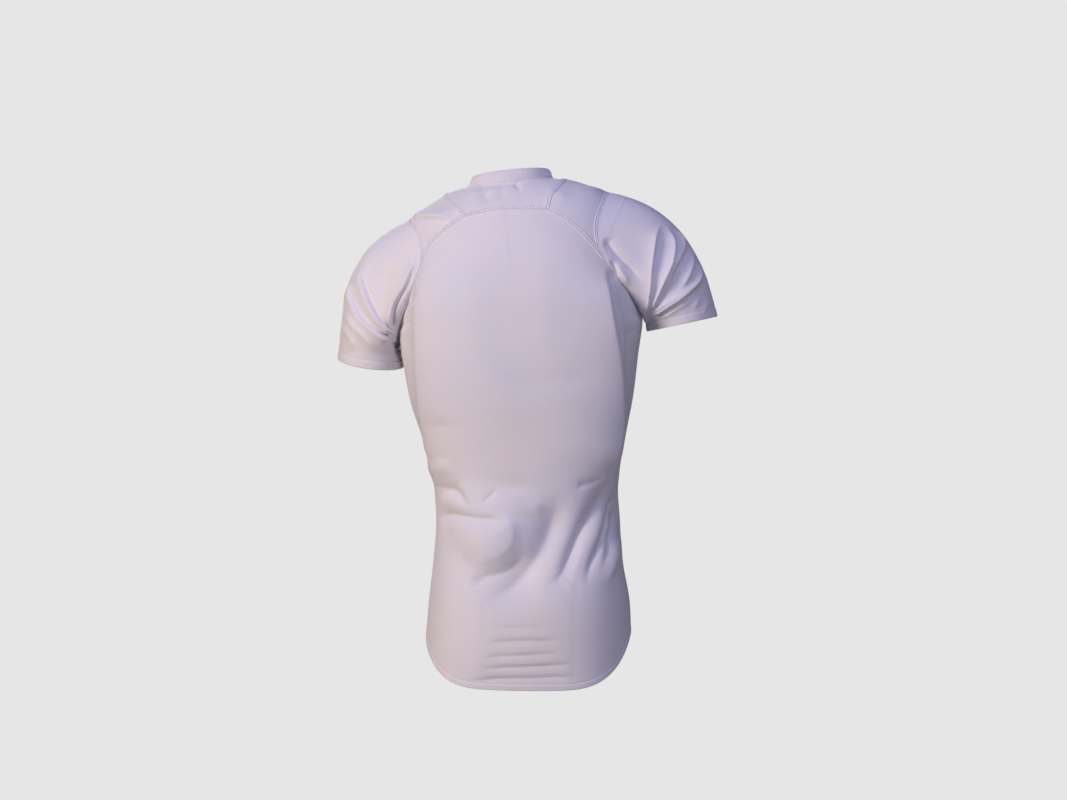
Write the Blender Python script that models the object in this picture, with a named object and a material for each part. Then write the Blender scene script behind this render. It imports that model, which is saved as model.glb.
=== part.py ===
"""Short-sleeved shirt with a flat stiff form in its back, worn shape, hollow.

Metres, +Z up. The front of the shirt faces -Y, the wearer's left is +X. The origin
is the middle of the shoulder line at the base of the neck, where a wearer holds it.

The cloth of the body is one smooth skin, a function of two numbers: the turn round
the body, in degrees from the centre back (positive towards the wearer's right), and
the level, measured up the cloth from the lowest ring. Each piece is a grid between
seam lines drawn on that skin, raised into folds and given a wall.
"""
import bpy
import numpy as np

# ---------------------------------------------------------------- driving sizes
WALL = 0.0012            # knitted cloth
BAND_WALL = 0.0020       # ribbed neck band, two layers
SEAM_GAP = 0.0003        # between two pieces at a seam
NECK_LEVEL = 0.802       # seam of the neck band
NECK_TOP_LEVEL = 0.818   # upper edge of the neck band

RING_COLUMNS = ("level", "height", "centre_x", "half_width", "depth_back", "depth_front",
                "squareness", "rise_right", "drop_back", "drop_front")
# One row for each ring of the body, from below the tail to the top of the neck band.
RINGS = np.array([
    (0.000, -0.730, -0.0257, 0.1455, 0.106, 0.094, 2.3, 0.00, 0.000, 0.000),  # below the tail
    (0.087, -0.643, -0.0250, 0.1460, 0.112, 0.096, 2.3, 0.00, 0.000, 0.000),  # hips
    (0.144, -0.586, -0.0262, 0.1430, 0.112, 0.097, 2.3, 0.00, 0.000, 0.000),  # seat
    (0.201, -0.529, -0.0245, 0.1350, 0.101, 0.097, 2.3, 0.00, 0.000, 0.000),
    (0.259, -0.471, -0.0248, 0.1315, 0.088, 0.096, 2.3, 0.00, 0.000, 0.000),
    (0.316, -0.414, -0.0208, 0.1330, 0.083, 0.096, 2.3, 0.00, 0.000, 0.000),  # waist
    (0.373, -0.357, -0.0197, 0.1420, 0.090, 0.100, 2.4, 0.02, 0.000, 0.000),
    (0.430, -0.300, -0.0165, 0.1575, 0.100, 0.107, 2.5, 0.04, 0.000, 0.000),
    (0.487, -0.243, -0.0150, 0.1665, 0.107, 0.114, 2.6, 0.06, 0.000, 0.000),
    (0.530, -0.200, -0.0150, 0.1725, 0.110, 0.119, 2.6, 0.08, 0.000, 0.002),  # armpits
    (0.573, -0.157, -0.0120, 0.1720, 0.112, 0.120, 2.6, 0.085, 0.000, 0.005),
    (0.616, -0.114, -0.0085, 0.1680, 0.108, 0.115, 2.5, 0.095, 0.001, 0.014),
    (0.661, -0.071, -0.0050, 0.1600, 0.099, 0.104, 2.4, 0.11, 0.004, 0.030),
    (0.694, -0.040, -0.0015, 0.1500, 0.090, 0.094, 2.3, 0.12, 0.008, 0.042),
    (0.714, -0.023, 0.0035, 0.1395, 0.083, 0.086, 2.3, 0.13, 0.010, 0.048),   # shoulder points
    (0.742, -0.009, 0.0030, 0.1140, 0.074, 0.077, 2.2, 0.12, 0.011, 0.052),
    (0.772, 0.004, 0.0020, 0.0870, 0.064, 0.070, 2.1, 0.10, 0.010, 0.054),
    (0.802, 0.012, 0.0000, 0.0595, 0.0535, 0.064, 2.0, 0.09, 0.007, 0.055),   # base of the neck
    (0.818, 0.0235, 0.0000, 0.0545, 0.0500, 0.060, 2.0, 0.10, 0.001, 0.057),
])

# The hem is a shirt tail: low behind, lower than the sides in front, rounded at the sides.
HEM_BACK_LEVEL = 0.0325
HEM_FRONT_LEVEL = 0.078
HEM_SIDE_LEVEL = 0.100
HEM_SIDE_POWER = 5.0

# Armholes: closed loops on the skin. Their own turn starts on top of the shoulder and
# goes down the back, under the arm and up the front.
ARMHOLE_TOP_LEVEL = 0.714
ARMHOLE_LOW_LEVEL = 0.533
ARMHOLE_BACK_REACH = {"left": 45.0, "right": 47.0}    # degrees of body turn behind the shoulder point
ARMHOLE_FRONT_REACH = {"left": 40.0, "right": 40.0}
ARMHOLE_EGG = 0.16              # wider above than below
YOKE_TURN = -14.0               # armhole turn where the forward shoulder seam ends
ARCH_TURN = {"left": 84.0, "right": 98.0}    # where the arched seam and the side-back seam end
SIDE_FRONT_TURN = 232.0         # where the side-front seam ends

# The flat stiff form in the back, between the side-back seams.
INSERT_TOP = -0.060
INSERT_BOTTOM = -0.408
INSERT_CORNER = 0.066                 # cut off the two upper corners
INSERT_PROUD = 0.0045
INSERT_EDGE = 0.010
INSERT_RADIUS = 0.135                 # of the back, turns a body turn into a width

# Arched seam over the back, seen from behind: X and Z, wearer's left to right.
ARCH = np.array([
    (0.1050, -0.082), (0.0800, -0.060), (0.0560, -0.045), (0.0350, -0.040), (0.0040, -0.036),
    (-0.0250, -0.036), (-0.0560, -0.037), (-0.0800, -0.049), (-0.1010, -0.067),
])
# Short slanting seams: X of the foot on the arched seam, the body turn and level that
# the seam bends towards, and the level of its top on the forward shoulder seam.
SHORT_SEAM_COLUMNS = ("foot_x", "bend_turn", "bend_level", "top_level")
SHORT_SEAMS = {
    "left": (0.0545, 46.0, 0.768, 0.774),
    "right": (-0.0575, 38.0, 0.778, 0.786),
}
FORWARD_SEAM_TURN = 101.0             # body turn of the forward shoulder seam

SIDE_BACK_COLUMNS = ("level", "turn_left", "turn_right")
# Seam between back and side panels: body turn at each level.
SIDE_BACK = np.array([
    (0.000, 21.0, 26.0), (0.100, 22.0, 27.0), (0.154, 24.0, 28.5), (0.205, 32.0, 34.0),
    (0.245, 47.0, 42.0), (0.275, 63.0, 47.0), (0.310, 70.0, 55.0), (0.350, 68.0, 60.0),
    (0.400, 59.0, 59.0), (0.453, 52.0, 54.0), (0.527, 48.5, 50.0), (0.605, 45.5, 45.5),
])
SIDE_FRONT_TURN_AT_HEM = 118.0        # body turn of the side-front seams

SLEEVE_COLUMNS = ("hem_x", "hem_y", "hem_z", "half_width", "half_depth", "outer_rise",
                  "back_drop", "cap_slope", "cap_reach", "under_reach")
SLEEVES = {
    "left": (0.2040, -0.012, -0.245, 0.0475, 0.056, 0.160, 0.190, 24.0, 0.320, 0.060),
    "right": (-0.2435, -0.008, -0.192, 0.0495, 0.057, 0.212, 0.050, 9.0, 0.290, 0.055),
}
UNDER_SLOPE = 64.0              # degrees below level at which the cloth leaves the armpit
CAP_TURN_IN = 0.10              # how far the back and the front of the cap turn in

FOLD_END = (-0.12, 0.30)        # share of its length over which a fold grows to its depth
FOLD_COLUMNS = ("from_x", "from_z", "to_x", "to_z", "bow", "depth", "half_width")
# The largest folds, seen from behind: where each starts and ends, how far its middle
# bows aside, how deep it is and its half width.
BACK_BEGINS = (-0.020, 0.025)   # Y over which the folds of the front give way to those of the back
BACK_FOLDS = np.array([
    (-0.146, -0.410, -0.046, -0.560, -0.008, 0.0060, 0.009),   # strong, right flank to seat
    (-0.074, -0.412, 0.050, -0.534, -0.018, 0.0042, 0.009),    # broad, waist to left seat
    (-0.138, -0.450, -0.108, -0.568, 0.004, 0.0036, 0.008),
    (-0.062, -0.425, 0.012, -0.556, -0.006, 0.0030, 0.007),
    (0.098, -0.455, 0.006, -0.466, 0.006, 0.0042, 0.007),      # short crease at the left
    (0.006, -0.466, 0.012, -0.514, -0.008, 0.0032, 0.006),
    (0.104, -0.398, 0.070, -0.418, 0.000, 0.0060, 0.012),      # pocket under the insert
    (0.062, -0.410, -0.110, -0.408, -0.014, 0.0040, 0.012),
    (0.040, -0.610, -0.080, -0.612, 0.004, 0.0018, 0.005),     # ripples of the seat
    (0.036, -0.630, -0.078, -0.632, 0.004, 0.0026, 0.005),
    (0.034, -0.648, -0.076, -0.650, 0.004, 0.0026, 0.005),
    (0.032, -0.664, -0.070, -0.666, 0.004, 0.0022, 0.005),
    (0.126, -0.058, 0.078, -0.052, 0.002, 0.0022, 0.006),      # shoulder wrinkle
    (-0.132, -0.300, 0.020, -0.272, 0.002, 0.0014, 0.010),     # across the insert
    (0.122, -0.330, 0.068, -0.336, 0.000, 0.0022, 0.007),
])
FRONT_FOLDS = np.array([
    (0.110, -0.405, -0.020, -0.470, 0.010, 0.0045, 0.010),
    (-0.140, -0.415, -0.030, -0.500, -0.010, 0.0042, 0.010),
    (0.095, -0.450, 0.010, -0.545, 0.006, 0.0036, 0.009),
    (-0.128, -0.455, -0.060, -0.560, 0.004, 0.0036, 0.009),
    (0.128, -0.180, 0.060, -0.120, -0.008, 0.0032, 0.010),     # pull from the armholes
    (-0.150, -0.160, -0.070, -0.105, 0.008, 0.0032, 0.010),
    (0.120, -0.350, 0.020, -0.372, 0.006, 0.0028, 0.010),
    (-0.140, -0.345, -0.040, -0.372, -0.006, 0.0028, 0.010),
])
# Folds of the sleeves run together at the armpit. Those in front lie a little aside
# of those behind.
SLEEVE_FRONT_SHIFT = np.array([0.006, 0.0, 0.012])
SLEEVE_FOLDS = {
    "left": np.array([
        (0.138, -0.110, 0.172, -0.196, 0.008, 0.0040, 0.006),
        (0.168, -0.112, 0.178, -0.176, 0.003, 0.0030, 0.006),
        (0.208, -0.118, 0.160, -0.208, 0.006, 0.0042, 0.007),
        (0.226, -0.144, 0.162, -0.212, -0.010, 0.0040, 0.007),
        (0.232, -0.178, 0.184, -0.232, -0.004, 0.0028, 0.006),
    ]),
    "right": np.array([
        (-0.208, -0.058, -0.190, -0.176, -0.004, 0.0036, 0.006),
        (-0.230, -0.060, -0.196, -0.172, -0.012, 0.0040, 0.007),
        (-0.248, -0.076, -0.212, -0.166, -0.006, 0.0030, 0.006),
        (-0.262, -0.098, -0.242, -0.146, -0.003, 0.0026, 0.006),
        (-0.270, -0.118, -0.194, -0.180, 0.010, 0.0042, 0.007),
    ]),
}

# Grid counts, a cell being 10 to 25 mm.
SIDE_ROWS = 34
ROW_CROWDING = 0.9       # rows lie closer together in the folded lower back
CROWD_MIDDLE = 0.42
CROWD_WIDTH = 0.20
SIDE_COLUMNS = 10
SHOULDER_COLUMNS = 8
YOKE_COLUMNS = 10
ARM_SHOULDER_CELLS = 9
ARM_FRONT_CELLS = 9
FORWARD_YOKE_CELLS = 3
FRONT_COLUMNS = 14
SLEEVE_ROWS = 10
BAND_ROWS = 2
BOW_FADE = 3.0           # how fast a grid forgets the bow of its upper and lower line

WHITE_KNIT = (0.80, 0.76, 0.82, 1.0)
RIB_WHITE = (0.78, 0.73, 0.78, 1.0)

# Small steps of body turn or armhole turn, level and sleeve part, for slopes.
TURN_STEP = 0.4
LEVEL_STEP = 0.001
PART_STEP = 0.004


# ---------------------------------------------------------------- small helpers
def unit(vectors):
    """Each vector divided by its length."""
    return vectors / np.maximum(np.linalg.norm(vectors, axis=-1, keepdims=True), 1e-12)


def smooth_columns(table, at):
    """Every further column of a table at new values of its first column.

    Cubic curves join the rows; the slope at a row is the weighted mean of the slopes
    on its two sides.
    """
    known = table[:, 0]
    values = table[:, 1:]
    gaps = np.diff(known)[:, None]
    steps = np.diff(values, axis=0) / gaps
    inner = (steps[:-1] * gaps[1:] + steps[1:] * gaps[:-1]) / (gaps[1:] + gaps[:-1])
    slopes = np.vstack([steps[:1], inner, steps[-1:]])
    at = np.asarray(at, dtype=float)
    row = np.clip(np.searchsorted(known, at) - 1, 0, len(known) - 2)
    gap = gaps[row, 0][..., None]
    part = (at - known[row])[..., None] / gap
    square = part * part
    cube = square * part
    return (values[row] * (2 * cube - 3 * square + 1) + slopes[row] * gap * (cube - 2 * square + part)
            + values[row + 1] * (3 * square - 2 * cube) + slopes[row + 1] * gap * (cube - square))


def smooth_step(low, high, value):
    """0 below low, 1 above high, an S curve between."""
    part = np.clip((value - low) / (high - low), 0.0, 1.0)
    return part * part * (3.0 - 2.0 * part)


# ---------------------------------------------------------------- the skin of the body
def ring_point(turn, level):
    """Point of the smooth body skin.

    Each level is an oval ring: sine and cosine of the turn, times the half width and the
    depth, stretched towards a square. It rises towards the wearer's right, and its back
    and front drop by a share that follows the squared cosine.
    """
    turn = np.radians(turn)
    ring = dict(zip(RING_COLUMNS[1:], np.moveaxis(smooth_columns(RINGS, level), -1, 0)))
    sine = np.sin(turn)
    cosine = np.cos(turn)
    square = ring["squareness"]
    stretch = (np.abs(sine) ** square + np.abs(cosine) ** square) ** (-1.0 / square)
    across = ring["half_width"] * stretch * sine
    mean_depth = 0.5 * (ring["depth_back"] + ring["depth_front"])
    depth = mean_depth + 0.5 * (ring["depth_back"] - ring["depth_front"]) * cosine
    drop = np.where(cosine > 0.0, ring["drop_back"], ring["drop_front"]) * cosine * cosine
    return np.stack([ring["centre_x"] - across, depth * stretch * cosine,
                     ring["height"] + across * ring["rise_right"] - drop], axis=-1)


def fold_height(points, folds):
    """How far the folds raise the cloth at points, seen from behind (X and Z).

    Across its line a fold is a trough with a low soft ridge on each side, and it dies
    out towards both ends.
    """
    raised = np.zeros(points.shape[:-1])
    for row in folds:
        fold = dict(zip(FOLD_COLUMNS, row))
        from_x = points[..., 0] - fold["from_x"]
        from_z = points[..., 2] - fold["from_z"]
        run_x = fold["to_x"] - fold["from_x"]
        run_z = fold["to_z"] - fold["from_z"]
        length = np.hypot(run_x, run_z)
        along = (from_x * run_x + from_z * run_z) / length ** 2
        aside = (from_x * run_z - from_z * run_x) / length
        aside = (aside - fold["bow"] * 4.0 * along * (1.0 - along)) / fold["half_width"]
        ends = smooth_step(*FOLD_END, along) * smooth_step(*FOLD_END, 1.0 - along)
        raised -= fold["depth"] * ends * (1.0 - 0.5 * aside ** 2) * np.exp(-0.5 * aside ** 2)
    return raised


def insert_height(turn, level, points):
    """How far the stiff insert pushes the cloth of the back out.

    It reaches to the side-back seams, and its two upper corners are cut off. The
    height falls off over a soft edge.
    """
    seam_turns = smooth_columns(SIDE_BACK, level)
    seam_turn = np.where(turn < 0.0, seam_turns[..., 0], seam_turns[..., 1])
    from_side = np.radians(seam_turn - np.abs(turn)) * INSERT_RADIUS
    from_top = INSERT_TOP - points[..., 2]
    from_corner = (from_side + from_top - INSERT_CORNER) / np.sqrt(2.0)
    inside = np.minimum(from_side, from_corner)
    inside = np.minimum(inside, np.minimum(from_top, points[..., 2] - INSERT_BOTTOM))
    return INSERT_PROUD * smooth_step(-INSERT_EDGE, INSERT_EDGE, inside)


def normals_of(surface, first, second, step_first, step_second):
    """Outward normals of a surface of two numbers, from small steps along both."""
    along_first = surface(first + step_first, second) - surface(first - step_first, second)
    along_second = surface(first, second + step_second) - surface(first, second - step_second)
    return unit(np.cross(along_first, along_second))


def body_skin(turn, level):
    """The body skin with its insert form and folds."""
    points = ring_point(turn, level)
    outward = normals_of(ring_point, turn, level, TURN_STEP, LEVEL_STEP)
    behind = smooth_step(*BACK_BEGINS, points[..., 1])
    height = behind * (fold_height(points, BACK_FOLDS) + insert_height(turn, level, points))
    height += (1.0 - behind) * fold_height(points, FRONT_FOLDS)
    return points + outward * height[..., None]


def body_normals(turn, level):
    return normals_of(body_skin, turn, level, TURN_STEP, LEVEL_STEP)


def hem_level(turn):
    """Level of the hem: low behind and in front, rounded up at the sides."""
    base = np.where(np.cos(np.radians(turn)) > 0.0, HEM_BACK_LEVEL, HEM_FRONT_LEVEL)
    return base + (HEM_SIDE_LEVEL - base) * np.abs(np.sin(np.radians(turn))) ** HEM_SIDE_POWER


def place_on_back(across, height):
    """Body turn and level of places given as seen from behind, by Newton's steps."""
    turn = np.degrees(np.arcsin(np.clip(-across / np.max(RINGS[:, 3]), -0.9, 0.9)))
    level = height - RINGS[0, 1]
    for _ in range(30):
        here = ring_point(turn, level)
        by_turn = (ring_point(turn + TURN_STEP, level) - here) / TURN_STEP
        by_level = (ring_point(turn, level + LEVEL_STEP) - here) / LEVEL_STEP
        miss_x = across - here[..., 0]
        miss_z = height - here[..., 2]
        size = by_turn[..., 0] * by_level[..., 2] - by_level[..., 0] * by_turn[..., 2]
        turn = turn + np.clip((miss_x * by_level[..., 2] - miss_z * by_level[..., 0]) / size, -8.0, 8.0)
        level = level + np.clip((miss_z * by_turn[..., 0] - miss_x * by_turn[..., 2]) / size, -0.03, 0.03)
    return np.stack([turn, level], axis=-1)


# ---------------------------------------------------------------- seam lines on the skin
SIDE_SIGN = {"left": -1.0, "right": 1.0}     # sign of the body turn


def armhole_line(side, arm_turn):
    """Body turn and level along an armhole, an egg on the skin."""
    angle = np.radians(arm_turn)
    middle = 0.5 * (ARMHOLE_TOP_LEVEL + ARMHOLE_LOW_LEVEL)
    half = 0.5 * (ARMHOLE_TOP_LEVEL - ARMHOLE_LOW_LEVEL)
    reach = np.where(np.sin(angle) > 0.0, ARMHOLE_BACK_REACH[side], ARMHOLE_FRONT_REACH[side])
    turn = 90.0 - reach * np.sin(angle) * (1.0 + ARMHOLE_EGG * np.cos(angle))
    return np.stack([SIDE_SIGN[side] * turn, middle + half * np.cos(angle)], axis=-1)


def arch_line():
    """The arched seam from the left to the right armhole, with its two short-seam feet."""
    ends = [armhole_line(side, ARCH_TURN[side])[None] for side in ("left", "right")]
    rough = np.vstack([ends[0], place_on_back(ARCH[:, 0], ARCH[:, 1]), ends[1]])
    points = ring_point(rough[:, 0], rough[:, 1])
    lengths = np.concatenate([[0.0], np.cumsum(np.linalg.norm(np.diff(points, axis=0), axis=1))])
    fine = smooth_columns(np.column_stack([lengths, rough]), np.linspace(0.0, lengths[-1], 400))
    across = ring_point(fine[:, 0], fine[:, 1])[:, 0]
    foot_x = SHORT_SEAM_COLUMNS.index("foot_x")
    left_foot, right_foot = (int(np.argmin(np.abs(across - SHORT_SEAMS[side][foot_x])))
                             for side in ("left", "right"))
    return (resample_on_skin(fine[:left_foot + 1], SHOULDER_COLUMNS),
            resample_on_skin(fine[left_foot:right_foot + 1], YOKE_COLUMNS),
            resample_on_skin(fine[right_foot:], SHOULDER_COLUMNS))


def resample_on_skin(line, count):
    """A line of body turns and levels at count + 1 places evenly spaced on the cloth."""
    points = ring_point(line[:, 0], line[:, 1])
    lengths = np.concatenate([[0.0], np.cumsum(np.linalg.norm(np.diff(points, axis=0), axis=1))])
    places = np.linspace(0.0, lengths[-1], count + 1)
    return np.stack([np.interp(places, lengths, line[:, k]) for k in range(2)], axis=1)


def straight(start, end, count):
    """Straight line on the flat skin, start to end, count + 1 places."""
    part = np.linspace(0.0, 1.0, count + 1)[:, None]
    return start * (1.0 - part) + end * part


def side_row_parts():
    """Places of the rows up a side seam, as shares of its length."""
    part = np.linspace(0.0, 1.0, 200)
    density = 1.0 + ROW_CROWDING * np.exp(-((part - CROWD_MIDDLE) / CROWD_WIDTH) ** 2)
    total = np.concatenate([[0.0], np.cumsum(0.5 * (density[1:] + density[:-1]))])
    return np.interp(np.linspace(0.0, total[-1], SIDE_ROWS + 1), total, part)


def side_back_line(side):
    """Seam between back and side panel, hem to armhole."""
    column = SIDE_BACK_COLUMNS.index("turn_" + side)
    table = SIDE_BACK[:, (0, column)].copy()
    top = armhole_line(side, ARCH_TURN[side])
    table[-1] = (top[1], SIDE_SIGN[side] * top[0])
    foot_turn = float(smooth_columns(table, np.array([HEM_BACK_LEVEL + 0.01]))[0, 0])
    levels = hem_level(foot_turn) + (top[1] - hem_level(foot_turn)) * side_row_parts()
    return np.column_stack([SIDE_SIGN[side] * smooth_columns(table, levels)[:, 0], levels])


def side_front_line(side):
    """Seam between side and front panel, hem to armhole."""
    top = armhole_line(side, SIDE_FRONT_TURN)
    foot_turn = SIDE_SIGN[side] * SIDE_FRONT_TURN_AT_HEM
    part = side_row_parts()
    level = hem_level(foot_turn) + (top[1] - hem_level(foot_turn)) * part
    return np.column_stack([foot_turn + (top[0] - foot_turn) * smooth_step(0.0, 1.0, part), level])


def hem_line(from_turn, to_turn, count):
    turn = np.linspace(from_turn, to_turn, count + 1)
    return np.column_stack([turn, hem_level(turn)])


def fill(bottom, top, first, last):
    """Grid between four lines.

    Its rows run straight from the first line to the last; the bows of the bottom and
    the top line are added to them and die out away from those two lines.
    """
    across = np.linspace(0.0, 1.0, len(bottom))[None, :, None]
    along = np.linspace(0.0, 1.0, len(first))[:, None, None]
    bottom_bow = bottom - (bottom[0] * (1 - across) + bottom[-1] * across)
    top_bow = top - (top[0] * (1 - across) + top[-1] * across)
    return (first[:, None] * (1 - across) + last[:, None] * across
            + bottom_bow * (1 - along) ** BOW_FADE + top_bow * along ** BOW_FADE)


# ---------------------------------------------------------------- sleeves
def sleeve_surface(side, arm_turn, part):
    """Smooth sleeve: part 0 is the armhole seam, part 1 the hem.

    A cubic curve leaves the armhole sideways, steeper under the arm than on top, and
    comes down to the hem ring along the sleeve's own axis.
    """
    row = dict(zip(SLEEVE_COLUMNS, SLEEVES[side]))
    out = -SIDE_SIGN[side]
    angle = np.radians(arm_turn)
    top_share = 0.5 + 0.5 * np.cos(angle)
    line = armhole_line(side, arm_turn)
    start = body_skin(line[..., 0], line[..., 1])
    end = np.stack([
        row["hem_x"] + out * row["half_width"] * np.cos(angle),
        row["hem_y"] + row["half_depth"] * np.sin(angle),
        row["hem_z"] + row["outer_rise"] * row["half_width"] * np.cos(angle)
        - row["back_drop"] * row["half_depth"] * np.sin(angle)], axis=-1)
    slope = np.radians(UNDER_SLOPE + (row["cap_slope"] - UNDER_SLOPE) * top_share)
    reach = row["under_reach"] + (row["cap_reach"] - row["under_reach"]) * top_share
    leave = np.stack([out * np.cos(slope), -CAP_TURN_IN * np.sin(angle), -np.sin(slope)], axis=-1)
    arrive = unit(np.array([out * row["outer_rise"], -row["back_drop"], -1.0]))
    part = part[..., None]
    reach = reach[..., None]
    square = part * part
    cube = square * part
    return (start * (2 * cube - 3 * square + 1) + leave * reach * (cube - 2 * square + part)
            + end * (3 * square - 2 * cube) + arrive * reach * (cube - square))


def sleeve_skin(side, arm_turn, part):
    """The sleeve with its folds, which start from nothing at the armhole seam."""
    def smooth(turn, along):
        return sleeve_surface(side, turn, along)
    points = smooth(arm_turn, part)
    outward = normals_of(smooth, arm_turn, part, TURN_STEP, PART_STEP)
    outward *= SIDE_SIGN[side]
    behind = smooth_step(*BACK_BEGINS, points[..., 1])
    height = behind * fold_height(points, SLEEVE_FOLDS[side])
    height += (1.0 - behind) * fold_height(points + SLEEVE_FRONT_SHIFT, SLEEVE_FOLDS[side])
    height *= smooth_step(0.0, 0.12, part) * smooth_step(-0.15, 0.15, 1.0 - part)
    return points + outward * height[..., None]


def sleeve_normals(side, arm_turn, part):
    def folded(turn, along):
        return sleeve_skin(side, turn, along)
    return SIDE_SIGN[side] * normals_of(folded, arm_turn, part, TURN_STEP, PART_STEP)


def armhole_seam_normals(side, arm_turn):
    """Shared normal at the armhole: between the body's and the sleeve's."""
    line = armhole_line(side, arm_turn)
    body = body_normals(line[..., 0], line[..., 1])
    sleeve = sleeve_normals(side, arm_turn, np.full_like(arm_turn, PART_STEP))
    return unit(body + sleeve)


# ---------------------------------------------------------------- walls and meshes
RIM_DIRECTION = np.array([0.3, 0.5, 1.0])     # "higher" along a seam, whichever way the seam runs
# Each edge of a grid: where it is, and which way the product of its run and the
# outward normal points, into the piece or out of it.
GRID_EDGES = {"bottom": ((0, slice(None)), -1.0), "top": ((-1, slice(None)), 1.0),
              "first": ((slice(None), 0), 1.0), "last": ((slice(None), -1), -1.0)}


def seam_shift(outer, normals, edge, closed):
    """Moves of one grid edge by half a seam gap into its piece, square to seam and normal."""
    place, inward = GRID_EDGES[edge]
    seam = outer[place]
    if closed:
        run = np.roll(seam, -1, axis=0) - np.roll(seam, 1, axis=0)
    else:
        run = np.gradient(seam, axis=0)
    return unit(np.cross(run, normals[place])) * inward * (SEAM_GAP / 2.0)


def add_object(name, vertices, faces, colour, roughness):
    """A mesh object with its own material, shaded smooth."""
    mesh = bpy.data.meshes.new(name)
    mesh.from_pydata(vertices.tolist(), [], faces.tolist())
    mesh.update()
    mesh.shade_smooth()
    mesh.set_sharp_from_angle(angle=np.radians(50.0))
    material = bpy.data.materials.new(name + "_cloth")
    material.use_nodes = True
    shader = material.node_tree.nodes["Principled BSDF"]
    shader.inputs["Base Color"].default_value = colour
    shader.inputs["Roughness"].default_value = roughness
    shader.inputs["Metallic"].default_value = 0.0
    mesh.materials.append(material)
    thing = bpy.data.objects.new(name, mesh)
    bpy.context.collection.objects.link(thing)
    return thing


def rim_faces(start, end, heights, below):
    """Triangles of the rim under an edge, start to end, split the same way on both pieces of a seam.

    Each four-sided place is cut from its higher outer corner to the inner corner
    opposite.
    """
    falls = (heights[start] > heights[end])[:, None]
    one = np.where(falls, np.stack([start, end, end + below], -1), np.stack([start, end, start + below], -1))
    two = np.where(falls, np.stack([start, end + below, start + below], -1),
                   np.stack([end, end + below, start + below], -1))
    return np.concatenate([one, two])


def wall_faces(outer, closed):
    """Triangles of a walled grid: outer skin, inner skin turned over, and its rim.

    Each cell of the skin is cut along its shorter diagonal.
    """
    rows, columns = outer.shape[:2]
    below = rows * columns
    points = outer.reshape(-1, 3)
    heights = points @ RIM_DIRECTION
    number = np.arange(below).reshape(rows, columns)
    if closed:
        number = np.column_stack([number, number[:, :1]])
    a, b = number[:-1, :-1].ravel(), number[:-1, 1:].ravel()
    d, c = number[1:, :-1].ravel(), number[1:, 1:].ravel()
    from_b = np.linalg.norm(points[b] - points[d], axis=1) < np.linalg.norm(points[a] - points[c], axis=1)
    skin = np.concatenate([np.stack([a, b, np.where(from_b, d, c)], -1),
                           np.stack([np.where(from_b, b, a), c, d], -1)])
    loops = [number[0][::-1], number[-1]]
    if not closed:
        loops += [number[:, 0], number[::-1, -1]]
    rims = [rim_faces(loop[:-1], loop[1:], heights, below) for loop in loops]
    return np.concatenate([skin, skin[:, ::-1] + below] + rims)


def add_wall(name, outer, normals, seams, wall=WALL, colour=WHITE_KNIT, closed=False, flip=False):
    """A cloth piece from its grid of outer points, with its seam edges drawn back."""
    shift = np.zeros_like(outer)
    for edge in seams:
        shift[GRID_EDGES[edge][0]] += seam_shift(outer, normals, edge, closed) * (-1.0 if flip else 1.0)
    outer = outer + shift
    inner = outer - normals * wall
    faces = wall_faces(outer, closed)
    if flip:
        faces = faces[:, ::-1]
    vertices = np.concatenate([outer.reshape(-1, 3), inner.reshape(-1, 3)])
    return add_object(name, vertices, faces, colour, 0.85)


def add_body_piece(name, grid, seams, armhole=None, **finish):
    """A piece of the body skin. armhole is its side, its grid edge and its armhole turns."""
    outer = body_skin(grid[..., 0], grid[..., 1])
    normals = body_normals(grid[..., 0], grid[..., 1])
    for side, edge, arm_turns in armhole or ():
        normals[edge] = armhole_seam_normals(side, arm_turns)
    return add_wall(name, outer, normals, seams, **finish)


# ---------------------------------------------------------------- the pieces
SHOULDER_ARM_TURNS = {side: np.linspace(arch_end, YOKE_TURN, ARM_SHOULDER_CELLS + 1)
                      for side, arch_end in ARCH_TURN.items()}
SIDE_ARM_TURNS = {side: np.linspace(arch_end, SIDE_FRONT_TURN, SIDE_COLUMNS + 1)
                  for side, arch_end in ARCH_TURN.items()}
FRONT_ARM_TURNS = np.linspace(SIDE_FRONT_TURN, 360.0 + YOKE_TURN, ARM_FRONT_CELLS + 1)


def forward_seam(side):
    """The forward shoulder seam in two stretches: armhole to short seam, short seam to neck."""
    turn = SIDE_SIGN[side] * FORWARD_SEAM_TURN
    outer_end = armhole_line(side, np.array(YOKE_TURN))
    short_top = np.array([turn, SHORT_SEAMS[side][SHORT_SEAM_COLUMNS.index("top_level")]])
    neck_end = np.array([turn, NECK_LEVEL])
    return (straight(outer_end, short_top, SHOULDER_COLUMNS),
            straight(short_top, neck_end, FORWARD_YOKE_CELLS))


def short_seam(side, foot):
    """Short slanting seam, from its foot on the arched seam up to the forward seam."""
    seam = dict(zip(SHORT_SEAM_COLUMNS, SHORT_SEAMS[side]))
    top = np.array([SIDE_SIGN[side] * FORWARD_SEAM_TURN, seam["top_level"]])
    bend = np.array([SIDE_SIGN[side] * seam["bend_turn"], seam["bend_level"]])
    part = np.linspace(0.0, 1.0, 60)[:, None]
    curve = foot * (1 - part) ** 2 + bend * 2 * part * (1 - part) + top * part ** 2
    return resample_on_skin(curve, ARM_SHOULDER_CELLS)


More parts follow.
